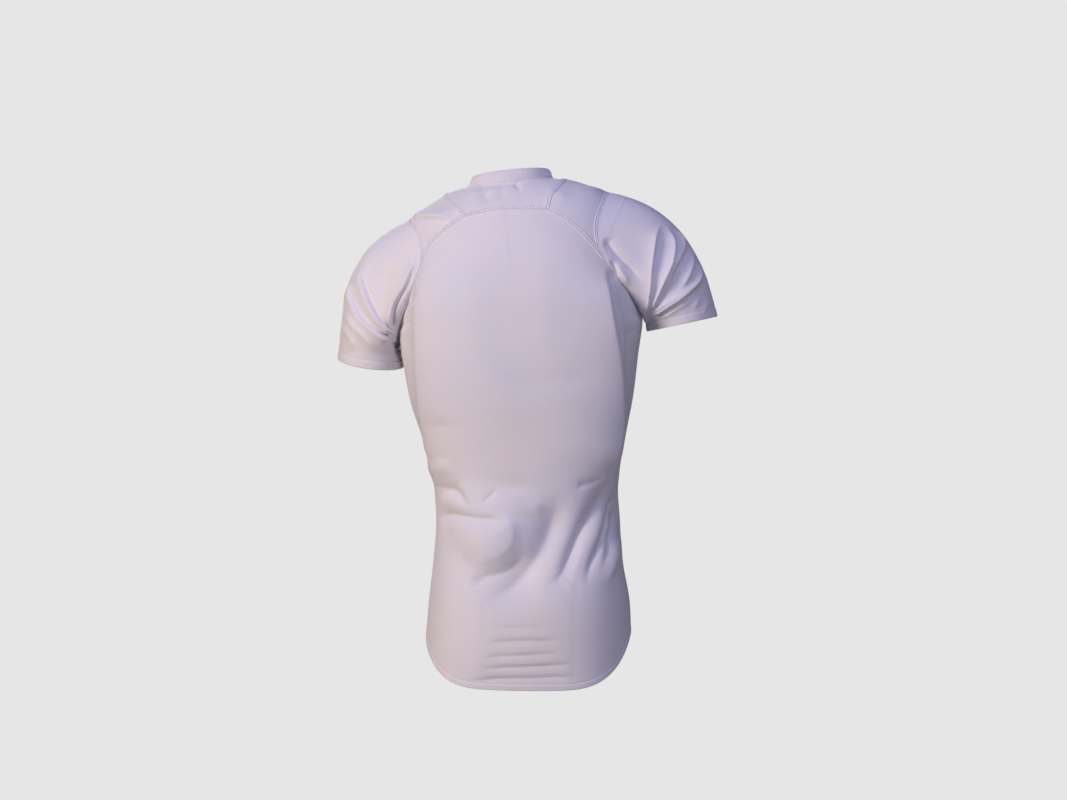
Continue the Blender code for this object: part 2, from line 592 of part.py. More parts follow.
def build_body():
    arch_left, arch_yoke, arch_right = arch_line()
    arch = np.vstack([arch_left, arch_yoke[1:], arch_right[1:]])
    back_left, back_right = side_back_line("left"), side_back_line("right")
    back_hem = hem_line(back_left[0, 0], back_right[0, 0], len(arch) - 1)
    top_left, top_right = arch_left[0], arch_right[-1]
    back_left[-1], back_right[-1] = top_left, top_right
    corners = [("left", (-1, slice(0, 1)), np.array([ARCH_TURN["left"]])),
               ("right", (-1, slice(-1, None)), np.array([ARCH_TURN["right"]]))]
    add_body_piece("back_panel", fill(back_hem, arch, back_left, back_right),
                   ("top", "first", "last"), corners)

    foot = {"left": arch_yoke[0], "right": arch_yoke[-1]}
    shorts = {side: short_seam(side, foot[side]) for side in foot}
    forwards = {side: forward_seam(side) for side in foot}
    yoke_foot = np.vstack([shorts["left"][::-1], arch_yoke[1:-1], shorts["right"]])
    neck_back = np.column_stack([np.linspace(-FORWARD_SEAM_TURN, FORWARD_SEAM_TURN, len(yoke_foot)),
                                 np.full(len(yoke_foot), NECK_LEVEL)])
    add_body_piece("back_yoke", fill(yoke_foot, neck_back, forwards["left"][1], forwards["right"][1]),
                   ("bottom", "top", "first", "last"))

    arm_edge = {side: armhole_line(side, SHOULDER_ARM_TURNS[side]) for side in foot}
    add_body_piece("shoulder_left", fill(arch_left, forwards["left"][0], arm_edge["left"], shorts["left"]),
                   ("bottom", "top", "first", "last"),
                   [("left", (slice(None), 0), SHOULDER_ARM_TURNS["left"])])
    add_body_piece("shoulder_right",
                   fill(arch_right, forwards["right"][0][::-1], shorts["right"], arm_edge["right"]),
                   ("bottom", "top", "first", "last"),
                   [("right", (slice(None), -1), SHOULDER_ARM_TURNS["right"])])

    for side, back_line in (("left", back_left), ("right", back_right)):
        front_line = side_front_line(side)
        hem = hem_line(back_line[0, 0], front_line[0, 0], SIDE_COLUMNS)
        turns = SIDE_ARM_TURNS[side]
        grid = fill(hem, armhole_line(side, turns), back_line, front_line)
        if side == "left":
            grid = grid[:, ::-1]
            turns = turns[::-1]
        add_body_piece("side_panel_" + side, grid, ("top", "first", "last"), [(side, -1, turns)])

    def front_edge(side):
        arm = armhole_line(side, FRONT_ARM_TURNS)
        return np.vstack([side_front_line(side), arm[1:], forwards[side][0][1:], forwards[side][1][1:]])
    first, last = front_edge("right"), front_edge("left")
    last = last + np.array([360.0, 0.0])
    hem = hem_line(first[0, 0], last[0, 0], FRONT_COLUMNS)
    neck = np.column_stack([np.linspace(first[-1, 0], last[-1, 0], FRONT_COLUMNS + 1),
                            np.full(FRONT_COLUMNS + 1, NECK_LEVEL)])
    arm_rows = slice(SIDE_ROWS, SIDE_ROWS + ARM_FRONT_CELLS + 1)
    add_body_piece("front_panel", fill(hem, neck, first, last), ("top", "first", "last"),
                   [("right", (arm_rows, 0), FRONT_ARM_TURNS), ("left", (arm_rows, -1), FRONT_ARM_TURNS)])

    ring = np.concatenate([neck_back[:, 0], neck[1:-1, 0]])
    levels = np.linspace(NECK_LEVEL, NECK_TOP_LEVEL, BAND_ROWS + 1)
    grid = np.stack(np.broadcast_arrays(ring[None], levels[:, None]), axis=-1)
    add_body_piece("neck_band", grid, ("bottom",), wall=BAND_WALL, colour=RIB_WHITE, closed=True)


def build_sleeve(side):
    turns = np.concatenate([SHOULDER_ARM_TURNS[side][::-1], SIDE_ARM_TURNS[side][1:], FRONT_ARM_TURNS[1:-1]])
    parts = np.linspace(0.0, 1.0, SLEEVE_ROWS + 1)
    turn, part = np.broadcast_arrays(turns[None], parts[:, None])
    outer = sleeve_skin(side, turn, part)
    line = armhole_line(side, turns)
    outer[0] = body_skin(line[:, 0], line[:, 1])
    normals = sleeve_normals(side, turn, part)
    normals[0] = armhole_seam_normals(side, turns)
    add_wall("sleeve_" + side, outer, normals, ("bottom",), closed=True, flip=(side == "left"))


def main():
    for thing in list(bpy.data.objects):
        bpy.data.objects.remove(thing, do_unlink=True)
    build_body()
    for side in ("left", "right"):
        build_sleeve(side)


main()
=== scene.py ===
# %% [markdown]
# # A short-sleeved protective shirt, seen from behind
# The real garment is sewn from thin white stretch jersey over a flat stiff form in the
# centre back. It is worn, so it is hollow and keeps the body's shape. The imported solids
# are the fixed frame. Every cloth piece is replaced here by a finer shell on the same
# skin, with the small folds, the seams, the stitches and the knit.

import bpy
import numpy as np
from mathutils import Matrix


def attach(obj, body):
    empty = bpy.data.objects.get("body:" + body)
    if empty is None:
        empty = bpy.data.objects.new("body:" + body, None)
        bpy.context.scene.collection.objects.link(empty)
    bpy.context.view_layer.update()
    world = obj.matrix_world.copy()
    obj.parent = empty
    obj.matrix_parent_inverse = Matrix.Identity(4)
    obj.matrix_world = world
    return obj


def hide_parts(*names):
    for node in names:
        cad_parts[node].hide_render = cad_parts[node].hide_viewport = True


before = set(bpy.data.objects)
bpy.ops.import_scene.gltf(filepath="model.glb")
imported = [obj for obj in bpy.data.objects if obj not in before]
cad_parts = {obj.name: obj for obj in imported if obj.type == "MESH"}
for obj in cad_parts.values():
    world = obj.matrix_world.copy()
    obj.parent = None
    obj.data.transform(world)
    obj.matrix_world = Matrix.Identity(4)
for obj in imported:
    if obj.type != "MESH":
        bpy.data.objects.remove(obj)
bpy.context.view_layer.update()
print("frame nodes:", sorted(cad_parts))

# %% [markdown]
# ## Camera
# The picture is taken from behind at the height of the lower ribs, 2.3 m away and turned
# a little to the side. A camera that looks level needs only a turn about Z. The lens
# follows from the picture's width in pixels and the focal length in the same pixels.

# %% Camera
PICTURE_WIDTH = 1067                # pixels, of the 1067 x 800 frame
FOCAL_PIXELS = 1610.0               # focal length in the same pixels
SENSOR_WIDTH = 36.0                 # mm
CAMERA_PLACE = (-0.2125, 2.2904, -0.300)
CAMERA_TURN = 184.5                 # degrees about Z, 180 looks straight along -Y


def add_camera():
    """A level camera behind the shirt. Lens = sensor width x focal pixels / picture pixels."""
    data = bpy.data.cameras.new("camera")
    data.sensor_width = SENSOR_WIDTH
    data.lens = SENSOR_WIDTH * FOCAL_PIXELS / PICTURE_WIDTH
    camera = bpy.data.objects.new("camera", data)
    camera.location = CAMERA_PLACE
    camera.rotation_euler = (np.radians(90.0), 0.0, np.radians(CAMERA_TURN))
    bpy.context.collection.objects.link(camera)
    bpy.context.scene.camera = camera
    return camera


print("lens of the camera: %.1f mm" % add_camera().data.lens)

# %% [markdown]
# ## Smooth curves through short tables
# A garment's shape is known at a few levels. Cubic curves through the rows of a table
# give every level between them, which keeps the numbers few and the surface smooth.

# %% Helpers for curves and directions


def unit(vectors):
    """Each vector divided by its length."""
    return vectors / np.maximum(np.linalg.norm(vectors, axis=-1, keepdims=True), 1e-12)


def smooth_step(low, high, value):
    """0 below low, 1 above high, an S curve between: 3p^2 - 2p^3."""
    part = np.clip((value - low) / (high - low), 0.0, 1.0)
    return part * part * (3.0 - 2.0 * part)


def cubic(start, leave, end, arrive, part):
    """A cubic from start to end that leaves and arrives with given slopes.

    start (2c-3s+1) + leave (c-2s+p) + end (3s-2c) + arrive (c-s), where p is the share of
    the way, s its square and c its cube.
    """
    square = part * part
    cube = square * part
    return (start * (2 * cube - 3 * square + 1) + leave * (cube - 2 * square + part)
            + end * (3 * square - 2 * cube) + arrive * (cube - square))


def smooth_columns(table, at):
    """Every further column of a table at new values of its first column.

    A cubic joins each two rows. A row's slope is the weighted mean of the slopes on its
    two sides.
    """
    known, values = table[:, 0], table[:, 1:]
    gaps = np.diff(known)[:, None]
    steps = np.diff(values, axis=0) / gaps
    inner = (steps[:-1] * gaps[1:] + steps[1:] * gaps[:-1]) / (gaps[1:] + gaps[:-1])
    slopes = np.vstack([steps[:1], inner, steps[-1:]])
    at = np.asarray(at, dtype=float)
    row = np.clip(np.searchsorted(known, at) - 1, 0, len(known) - 2)
    gap = gaps[row, 0][..., None]
    part = (at - known[row])[..., None] / gap
    return cubic(values[row], slopes[row] * gap, values[row + 1], slopes[row + 1] * gap, part)


# %% [markdown]
# ## The skin of the body
# Cloth on a body is a stack of oval rings. Two numbers name a place on it: the turn round
# the body, in degrees from the centre back and positive towards the wearer's right, and
# the level, in metres up the cloth. The rings are the ones that the solids have, so a
# shell made from them lies exactly where its solid lies.

# %% Rings of the body
SIDES = ("left", "right")           # the wearer's
SIDE_SIGN = {"left": -1.0, "right": 1.0}
RING_COLUMNS = ("level", "height", "centre_x", "half_width", "depth_back", "depth_front",
                "squareness", "rise_right", "drop_back", "drop_front")
RINGS = np.array([
    (0.000, -0.730, -0.0257, 0.1455, 0.106, 0.094, 2.3, 0.00, 0.000, 0.000),  # below the tail
    (0.087, -0.643, -0.0250, 0.1460, 0.112, 0.096, 2.3, 0.00, 0.000, 0.000),  # hips
    (0.144, -0.586, -0.0262, 0.1430, 0.112, 0.097, 2.3, 0.00, 0.000, 0.000),  # seat
    (0.201, -0.529, -0.0245, 0.1350, 0.101, 0.097, 2.3, 0.00, 0.000, 0.000),
    (0.259, -0.471, -0.0248, 0.1315, 0.088, 0.096, 2.3, 0.00, 0.000, 0.000),
    (0.316, -0.414, -0.0208, 0.1330, 0.083, 0.096, 2.3, 0.00, 0.000, 0.000),  # waist
    (0.373, -0.357, -0.0197, 0.1420, 0.090, 0.100, 2.4, 0.02, 0.000, 0.000),
    (0.430, -0.300, -0.0165, 0.1575, 0.100, 0.107, 2.5, 0.04, 0.000, 0.000),
    (0.487, -0.243, -0.0150, 0.1665, 0.107, 0.114, 2.6, 0.06, 0.000, 0.000),
    (0.530, -0.200, -0.0150, 0.1725, 0.110, 0.119, 2.6, 0.08, 0.000, 0.002),  # armpits
    (0.573, -0.157, -0.0120, 0.1720, 0.112, 0.120, 2.6, 0.085, 0.000, 0.005),
    (0.616, -0.114, -0.0085, 0.1680, 0.108, 0.115, 2.5, 0.095, 0.001, 0.014),
    (0.661, -0.071, -0.0050, 0.1600, 0.099, 0.104, 2.4, 0.11, 0.004, 0.030),
    (0.694, -0.040, -0.0015, 0.1500, 0.090, 0.094, 2.3, 0.12, 0.008, 0.042),
    (0.714, -0.023, 0.0035, 0.1395, 0.083, 0.086, 2.3, 0.13, 0.010, 0.048),   # shoulder points
    (0.742, -0.009, 0.0030, 0.1140, 0.074, 0.077, 2.2, 0.12, 0.011, 0.052),
    (0.772, 0.004, 0.0020, 0.0870, 0.064, 0.070, 2.1, 0.10, 0.010, 0.054),
    (0.802, 0.012, 0.0000, 0.0595, 0.0535, 0.064, 2.0, 0.09, 0.007, 0.055),   # base of the neck
    (0.818, 0.0235, 0.0000, 0.0545, 0.0500, 0.060, 2.0, 0.10, 0.001, 0.057),
])


def ring_point(turn, level):
    """Point of the smooth body skin.

    Each level is an oval: sine and cosine of the turn, times half width and depth,
    stretched towards a square. It rises towards the wearer's right, and its back and
    front drop with the squared cosine.
    """
    turn = np.radians(turn)
    ring = dict(zip(RING_COLUMNS[1:], np.moveaxis(smooth_columns(RINGS, level), -1, 0)))
    sine, cosine = np.sin(turn), np.cos(turn)
    square = ring["squareness"]
    stretch = (np.abs(sine) ** square + np.abs(cosine) ** square) ** (-1.0 / square)
    across = ring["half_width"] * stretch * sine
    mean_depth = 0.5 * (ring["depth_back"] + ring["depth_front"])
    depth = mean_depth + 0.5 * (ring["depth_back"] - ring["depth_front"]) * cosine
    drop = np.where(cosine > 0.0, ring["drop_back"], ring["drop_front"]) * cosine * cosine
    return np.stack([ring["centre_x"] - across, depth * stretch * cosine,
                     ring["height"] + across * ring["rise_right"] - drop], axis=-1)


HALF_WIDTHS = RINGS[:, RING_COLUMNS.index("half_width")]
print("the skin is %.3f m wide at the chest" % (2 * HALF_WIDTHS.max()))

# %% [markdown]
# ## Folds
# Cloth that is pulled towards an armpit or pushed together above the seat makes folds
# that are steep on one side and roll off softly on the other, and they bend as they run.
# Each fold here is one row of a table: its depth and the width of its two
# sides in millimetres, how sharp its line is, how much it narrows, the shares of its
# length over which it fades in and out, and the places that it runs through, X and Z in
# millimetres. A negative depth is a roll that stands up. Sculpting would do too, but a
# table can be read, and its rows are easy to move.

# %% One formula for every fold
FOLD_COLUMNS = ("depth", "left_width", "right_width", "softness", "narrowing", "fade_from", "fade_to",
                "places")
FOLD_PIECES = 18                    # straight pieces of a fold's line
FOLD_REACH = 5.5                    # widths beyond which a fold is too low to count
MM_PER_M = 1000.0


def in_metres(rows):
    """The rows of a table as folds with named settings, their lengths in metres."""
    folds = [dict(zip(FOLD_COLUMNS, row)) for row in rows]
    for fold in folds:
        for name in ("depth", "left_width", "right_width", "places"):
            fold[name] = np.array(fold[name]) / MM_PER_M
    return folds


def fold_line(places):
    """A smooth line through a fold's places, as FOLD_PIECES straight pieces of equal length."""
    run = np.concatenate([[0.0], np.cumsum(np.hypot(*np.diff(places, axis=0).T))])
    return smooth_columns(np.column_stack([run, places]), np.linspace(0.0, run[-1], FOLD_PIECES + 1))


def along_and_aside(seen, line):
    """Share of a line's length and signed distance from it, for places seen from behind.

    On each straight piece the nearest place is (offset . run) / (run . run), held between
    0 and 1, and the piece that lies nearest is taken. Left is the left hand of someone
    who walks along the line.
    """
    start, run = line[:-1], np.diff(line, axis=0)
    offset = seen[:, None] - start
    share = np.clip((offset * run).sum(-1) / (run * run).sum(-1), 0.0, 1.0)
    away = np.hypot(*np.moveaxis(offset - share[..., None] * run, -1, 0))
    nearest = np.argmin(away, axis=1)
    row = np.arange(len(seen))
    offset, run = offset[row, nearest], run[nearest]
    side = np.sign(offset[:, 0] * run[:, 1] - offset[:, 1] * run[:, 0])
    return (nearest + share[row, nearest]) / FOLD_PIECES, side * away[row, nearest]


def fold_height(points, folds):
    """How far the folds raise the cloth at points, judged by X and Z as seen from behind.

    s is the distance from the line over the width of that side, and the fold is
    -depth * exp(softness - root(s^2 + softness^2)): a crisp valley for a small softness,
    a round one for a large. The widths shrink along it to the share given by narrowing,
    and the depth grows from nothing over a share of its length at both ends.
    """
    across, height = points[..., 0], points[..., 2]
    raised = np.zeros(points.shape[:-1])
    for fold in folds:
        line = fold_line(fold["places"])
        reach = FOLD_REACH * max(fold["left_width"], fold["right_width"])
        (left, low), (right, high) = line.min(axis=0) - reach, line.max(axis=0) + reach
        near = (across > left) & (across < right) & (height > low) & (height < high)
        if not near.any():
            continue
        along, aside = along_and_aside(np.column_stack([across[near], height[near]]), line)
        width = np.where(aside > 0.0, fold["left_width"], fold["right_width"])
        share = aside / (width * (1.0 + (fold["narrowing"] - 1.0) * along))
        soft = fold["softness"]
        ends = (smooth_step(0.0, fold["fade_from"], along)
                * smooth_step(0.0, fold["fade_to"], 1.0 - along))
        raised[near] -= fold["depth"] * ends * np.exp(soft - np.sqrt(share ** 2 + soft ** 2))
    return raised


# %% [markdown]
# ## Folds of the back
# Below the stiff form the cloth is longer than it needs to be. It is pushed into a
# pocket, a puffed lobe and long slanting valleys, and the tail ripples where it is
# stretched over the seat. Above, the cloth is taut and creases only near its seams.

# %% Pocket, puffed lobe and broad valley of the waist
WAIST_FOLDS = (
    # pocket under the left corner of the stiff form
    (6.2, 6.5, 10, 0.35, 0.8, 0.2, 0.35,
     ((116, -421), (100, -422.5), (86, -424), (71, -426), (62, -433), (55, -444), (50, -456))),
    (-2.6, 6, 5, 0.3, 1.0, 0.4, 0.4, ((68, -413), (57, -428), (50, -446))),
    # crease above the puffed lobe, and the lobe's rolled right edge
    (7.8, 5.6, 9.5, 0.18, 1.0, 0.22, 0.22,
     ((106, -468), (95, -463), (83, -459.5), (65, -460), (47, -462.5), (30, -464), (16, -464.5),
      (-2, -468))),
    (-3.4, 8, 18, 0.3, 0.9, 0.2, 0.35,
     ((4, -462), (-6, -468), (-11, -478), (-11.5, -489), (-8, -500), (-1, -508), (8, -514.5),
      (22, -518.5), (36, -522.5), (50, -530))),
    (2.4, 3, 3.4, 0.35, 0.8, 0.35, 0.4, ((12, -422), (17, -429), (23, -435), (27, -440), (30, -448))),
    # broad valley from the waist round under the lobe
    (15.8, 23, 18, 0.5, 0.8, 0.3, 0.38,
     ((-76, -418), (-74, -436), (-71, -453), (-67, -467), (-63, -480), (-57, -493), (-52, -503),
      (-46, -513), (-39, -523), (-28, -537), (-14, -550), (2, -562), (18, -572), (36, -580))),
    (6.8, 15, 8.5, 0.3, 0.9, 0.35, 0.35,
     ((-34, -498), (-28, -509), (-19, -520), (-7, -530), (10, -537), (28, -542), (43, -549),
      (54, -559))),
    (2, 4.5, 4.5, 0.5, 1.0, 0.4, 0.4, ((33, -541), (37, -551), (45, -564))),
    (-2, 8, 8, 0.6, 1.0, 0.4, 0.4, ((-47, -432), (-44, -448), (-41, -462))),
)

# %% Strong valley and steep creases of the right flank
FLANK_FOLDS = (
    # strong valley from the right of the waist to the seat
    (14, 19, 11, 0.32, 0.75, 0.16, 0.42,
     ((-149, -408), (-144, -420), (-137, -432), (-129, -444), (-121, -455.5), (-114, -467),
      (-107.5, -479), (-102, -490.5), (-97, -502), (-92.5, -512), (-88, -523), (-82, -534.5),
      (-74, -544), (-62, -551), (-46, -556))),
    (2.6, 4, 5, 0.4, 1.0, 0.35, 0.35,
     ((-136, -406), (-126, -411), (-116, -415), (-105, -418), (-96, -429))),
    (-2.2, 6, 6, 0.5, 1.0, 0.4, 0.4,
     ((-128, -470), (-119, -488), (-110, -508), (-102, -528), (-98, -552))),
    # steep creases of the right flank
    (8, 5.6, 4.4, 0.12, 1.0, 0.2, 0.4,
     ((-158, -418), (-156, -433), (-153, -444), (-149, -456), (-145, -470), (-140, -483), (-136, -494),
      (-131, -504), (-126, -514), (-120.5, -524), (-116.5, -535), (-114, -547), (-117, -562))),
    (7, 5.4, 4.4, 0.14, 1.0, 0.25, 0.45,
     ((-160, -436), (-158, -449), (-155, -461), (-153, -475), (-149, -488), (-145, -501), (-142, -514),
      (-137, -525), (-132, -540))),
    (-5, 5, 8, 0.2, 1.0, 0.3, 0.4,
     ((-156, -488), (-154.5, -503), (-151, -518), (-147, -531), (-143.5, -544), (-140, -560))),
    (4.6, 4, 5.5, 0.2, 1.0, 0.35, 0.35, ((-152, -374), (-147, -386), (-140, -397), (-134, -408))),
)

# %% Ripples of the tail
TAIL_FOLDS = (
    # the tail tucks in towards its hem
    (6, 30, 20, 0.5, 1.0, 0.35, 0.35, ((80, -700), (-10, -704), (-130, -700))),
    # the seat above it ripples
    (1.3, 3, 9, 0.45, 1.0, 0.4, 0.4, ((26, -610), (-23, -609), (-74, -606))),
    (2.4, 2.8, 10, 0.22, 1.0, 0.3, 0.4,
     ((30, -633.5), (5, -629), (-23, -627.2), (-50, -627), (-90, -624.5))),
    (2.6, 2.8, 10, 0.22, 1.0, 0.3, 0.4,
     ((36, -655), (10, -649.2), (-23, -647.2), (-56, -645.2), (-86, -642.5))),
    (3.2, 2.6, 10, 0.16, 1.0, 0.3, 0.3,
     ((40, -668), (5, -665), (-29, -663.2), (-56, -661.8), (-83, -660), (-104, -658))),
    (3, 3, 8, 0.2, 1.0, 0.2, 0.3,
     ((52, -686), (5, -680.6), (-36, -679.2), (-77, -677.8), (-108, -677.2))),
)

# %% Sides of the stiff form, and soft creases on it
FORM_FOLDS = (
    # flat sides
    (-3.6, 42, 12, 0.12, 1.0, 0.25, 0.2,
     ((120, -110), (120, -160), (120, -220), (119, -280), (115, -335), (102, -392), (92, -416))),
    (-10.4, 7.8, 34, 0.04, 1.0, 0.2, 0.15,
     ((-134, -110), (-135.5, -130), (-139, -164), (-143, -191), (-147, -218), (-151, -253),
      (-152.5, -290), (-152, -325), (-148, -360), (-140, -389), (-133, -412))),
    # creases across the form and beside it
    (1.1, 6, 16, 0.8, 1.0, 0.3, 0.5, ((-143, -267), (-60, -275), (15, -281))),
    (1.3, 4, 7, 0.6, 1.0, 0.35, 0.6, ((118, -330), (86, -334), (54, -334))),
    (1.4, 4, 6, 0.6, 1.0, 0.35, 0.6, ((124, -371), (106, -382), (86, -388))),
    (1.6, 8, 9, 0.8, 1.0, 0.4, 0.4, ((40, -415), (0, -419), (-50, -417))),
    # soft ridges down the middle, where the cloth changes its lean
    (-1.9, 28, 30, 0.22, 1.0, 0.3, 0.35,
     ((34, -60), (41, -120), (42, -200), (24, -260), (4, -310), (-4, -390))),
    (-1.9, 26, 30, 0.3, 1.0, 0.3, 0.45, ((-50, -70), (-55, -140), (-60, -220), (-64, -310))),
)

# %% Creases of the yoke, the shoulders and the armpits
YOKE_FOLDS = (
    # yoke and shoulders
    (-5.6, 6, 4.6, 0.1, 1.0, 0.25, 0.3,
     ((142, -40), (126, -42.5), (112, -44), (99, -45), (85, -47.5), (70, -53))),
    (2.4, 2.2, 4, 0.25, 1.0, 0.3, 0.3, ((134, -45), (115, -47), (100, -48), (85, -50.2), (72, -54.5))),
    (2.4, 3.5, 5, 0.4, 1.0, 0.4, 0.4, ((114, -58), (97, -63), (81, -62))),
    (3.4, 5, 3.2, 0.25, 1.0, 0.3, 0.4, ((39, -1), (35.5, -7), (31, -13), (26, -20), (22, -27))),
    (1.6, 5, 4, 0.5, 1.0, 0.4, 0.4, ((13, -4), (7, -11), (0, -19))),
    (2.8, 3.6, 2.8, 0.25, 1.0, 0.35, 0.4, ((-8, 2), (-14, -2), (-22, -9))),
    (-1.6, 6, 7, 0.6, 1.0, 0.4, 0.4, ((-52, -6), (-72, -16), (-92, -22))),
    # pull from the armpits into the flanks
    (3.4, 4, 6, 0.3, 1.0, 0.35, 0.1,
     ((118, -148), (126, -157), (134, -164), (142, -171), (149, -179), (156, -190))),
    (2.8, 3.5, 5, 0.3, 1.0, 0.4, 0.1, ((122, -187), (133, -191), (145, -194), (157, -198))),
    (1.8, 5, 5, 0.5, 1.0, 0.4, 0.2, ((120, -238), (134, -222), (150, -208))),
    (2, 4, 4, 0.4, 1.0, 0.4, 0.1, ((-158, -212), (-172, -206), (-188, -202))),
    (3, 4, 4.5, 0.3, 1.0, 0.3, 0.4, ((-147, -122), (-144, -133), (-142, -146))),
    (2.2, 5, 5, 0.4, 1.0, 0.4, 0.1, ((-148, -150), (-163, -172), (-180, -188))),
)
BACK_FOLDS = in_metres(WAIST_FOLDS + FLANK_FOLDS + TAIL_FOLDS + FORM_FOLDS + YOKE_FOLDS)
print(len(BACK_FOLDS), "folds behind")

# %% Puffed lobes of the back
PUFF_COLUMNS = ("x", "z", "half_x", "half_z", "height")
BACK_PUFFS = np.array([
    (94, -394, 26, 18, 3),
    (28, -490, 56, 44, 5.6),
    (18, -470, 80, 72, 9),
    (78, -440, 34, 18, 2.4),
    (-20, -440, 40, 24, 1.6),
    (-6, -640, 70, 60, 1.6),
]) / MM_PER_M


def puff_height(points, puffs):
    """Soft mounds: height * (1 - r^2)^2 inside r = 1, r the distance over the half sizes."""
    raised = np.zeros(points.shape[:-1])
    for row in puffs:
        puff = dict(zip(PUFF_COLUMNS, row))
        reach = (((points[..., 0] - puff["x"]) / puff["half_x"]) ** 2
                 + ((points[..., 2] - puff["z"]) / puff["half_z"]) ** 2)
        raised += puff["height"] * np.clip(1.0 - reach, 0.0, 1.0) ** 2
    return raised


# %% [markdown]
# ## Folds of the front
# The front isn't seen. A shirt of this cut has like folds there, softer and fewer: slanting
# creases from both flanks, pulls towards the armpits and ripples above the hem.

# %% Folds of the front
FRONT_FOLDS = in_metres((
    # creases above the lap, from both flanks
    (6.2, 7, 11, 0.3, 0.8, 0.2, 0.45, ((118, -396), (92, -414), (60, -440), (22, -458), (-26, -466))),
    (5.2, 10, 6, 0.3, 0.8, 0.2, 0.45,
     ((-150, -402), (-124, -424), (-98, -452), (-70, -478), (-30, -500))),
    (5.6, 6, 10, 0.22, 0.8, 0.25, 0.4, ((112, -446), (90, -466), (68, -494), (44, -522), (10, -546))),
    (4.8, 9, 5, 0.22, 0.9, 0.25, 0.4,
     ((-140, -448), (-122, -474), (-104, -506), (-90, -538), (-66, -566))),
    (2.6, 5, 9, 0.6, 1.0, 0.35, 0.4, ((64, -378), (22, -390), (-46, -394))),
    (3.4, 4, 9, 0.25, 1.0, 0.35, 0.4, ((48, -484), (24, -498), (-20, -520))),
    (3, 8, 5, 0.4, 1.0, 0.35, 0.4, ((-94, -364), (-60, -392), (-12, -420))),
    (3.8, 5, 5, 0.2, 1.0, 0.3, 0.4, ((-148, -470), (-140, -502), (-128, -534), (-112, -562))),
    (4, 5, 6, 0.2, 1.0, 0.3, 0.4, ((106, -500), (98, -528), (82, -552), (58, -572))),
    # pulls towards the armpits
    (4.4, 9, 4, 0.2, 1.0, 0.15, 0.55, ((140, -192), (118, -168), (92, -142), (56, -122))),
    (3, 7, 4, 0.3, 1.0, 0.2, 0.55, ((146, -212), (112, -196), (70, -180))),
    (2.2, 8, 5, 0.5, 1.0, 0.2, 0.55, ((140, -236), (112, -234), (82, -226))),
    (4.2, 4, 9, 0.2, 1.0, 0.15, 0.55, ((-164, -172), (-134, -142), (-104, -122), (-70, -104))),
    (3, 4, 7, 0.3, 1.0, 0.2, 0.55, ((-166, -196), (-128, -176), (-86, -164))),
    (2.4, 6, 6, 0.5, 1.0, 0.2, 0.55, ((-160, -222), (-136, -216), (-104, -200))),
    (3.2, 5, 9, 0.4, 1.0, 0.25, 0.5, ((126, -348), (76, -366), (20, -372))),
    (2.8, 9, 5, 0.45, 1.0, 0.25, 0.5, ((-150, -342), (-96, -362), (-40, -374))),
    # soft hollows of the chest, and ripples above the hem
    (1.7, 10, 10, 0.9, 1.0, 0.4, 0.6, ((50, -56), (62, -100), (64, -156))),
    (1.6, 10, 10, 0.9, 1.0, 0.4, 0.6, ((-50, -46), (-64, -90), (-68, -144))),
    (1.7, 3, 9, 0.3, 1.0, 0.4, 0.4, ((32, -596), (-20, -600), (-80, -602))),
    (2.1, 3, 9, 0.25, 1.0, 0.4, 0.4, ((38, -618), (-20, -620), (-72, -617))),
    (1.6, 3, 8, 0.3, 1.0, 0.4, 0.4, ((26, -632), (-30, -633), (-64, -630))),
))
BACK_BEGINS = (-0.020, 0.025)       # Y over which the front's folds give way to the back's
print(len(FRONT_FOLDS), "folds in front")

# %% [markdown]
# ## The stiff form in the back
# A flat protective form lies under the cloth of the centre back. Only its outline shows.
# The cloth lies flat on it and falls away beyond its outline, with a real corner down
# the right side and softer ones elsewhere. So it is a plateau added to the skin.

# %% Outline of the stiff form
SIDE_BACK_COLUMNS = ("level", "turn_left", "turn_right")
SIDE_BACK = np.array([
    (0.000, 21.0, 26.0), (0.100, 22.0, 27.0), (0.154, 24.0, 28.5), (0.205, 32.0, 34.0),
    (0.245, 47.0, 42.0), (0.275, 63.0, 47.0), (0.310, 70.0, 55.0), (0.350, 68.0, 60.0),
    (0.400, 59.0, 59.0), (0.453, 52.0, 54.0), (0.527, 48.5, 50.0), (0.605, 45.5, 45.5),
])
INSERT_TOP, INSERT_BOTTOM = -0.060, -0.408      # Z of its upper and lower edge
INSERT_CORNER = 0.066               # what its upper corners are cut back by
INSERT_PROUD = 0.0050               # how far it stands out
BACK_RADIUS = 0.135                 # turns a body turn into a width
EDGE_COLUMNS = ("roundness", "fall")
EDGES = {
    "left": (0.0025, 0.012), "right": (0.0010, 0.012), "top": (0.0200, 0.020),
    "corner_left": (0.0060, 0.010), "corner_right": (0.0200, 0.020), "bottom": (0.0120, 0.014),
}


def inside_side_seam(turn, level):
    """Distance inwards from the side-back seam: (seam turn - |turn|) times the back's radius."""
    seam_turns = smooth_columns(SIDE_BACK, level)
    seam_turn = np.where(turn < 0.0, seam_turns[..., 0], seam_turns[..., 1])
    return np.radians(seam_turn - np.abs(turn)) * BACK_RADIUS


def edge_share(inside, edge):
    """1 on the form, falling beyond its outline: exp((d - root(d^2 + roundness^2)) / (2 fall))."""
    shape = dict(zip(EDGE_COLUMNS, EDGES[edge]))
    return np.exp((inside - np.sqrt(inside ** 2 + shape["roundness"] ** 2)) / (2.0 * shape["fall"]))


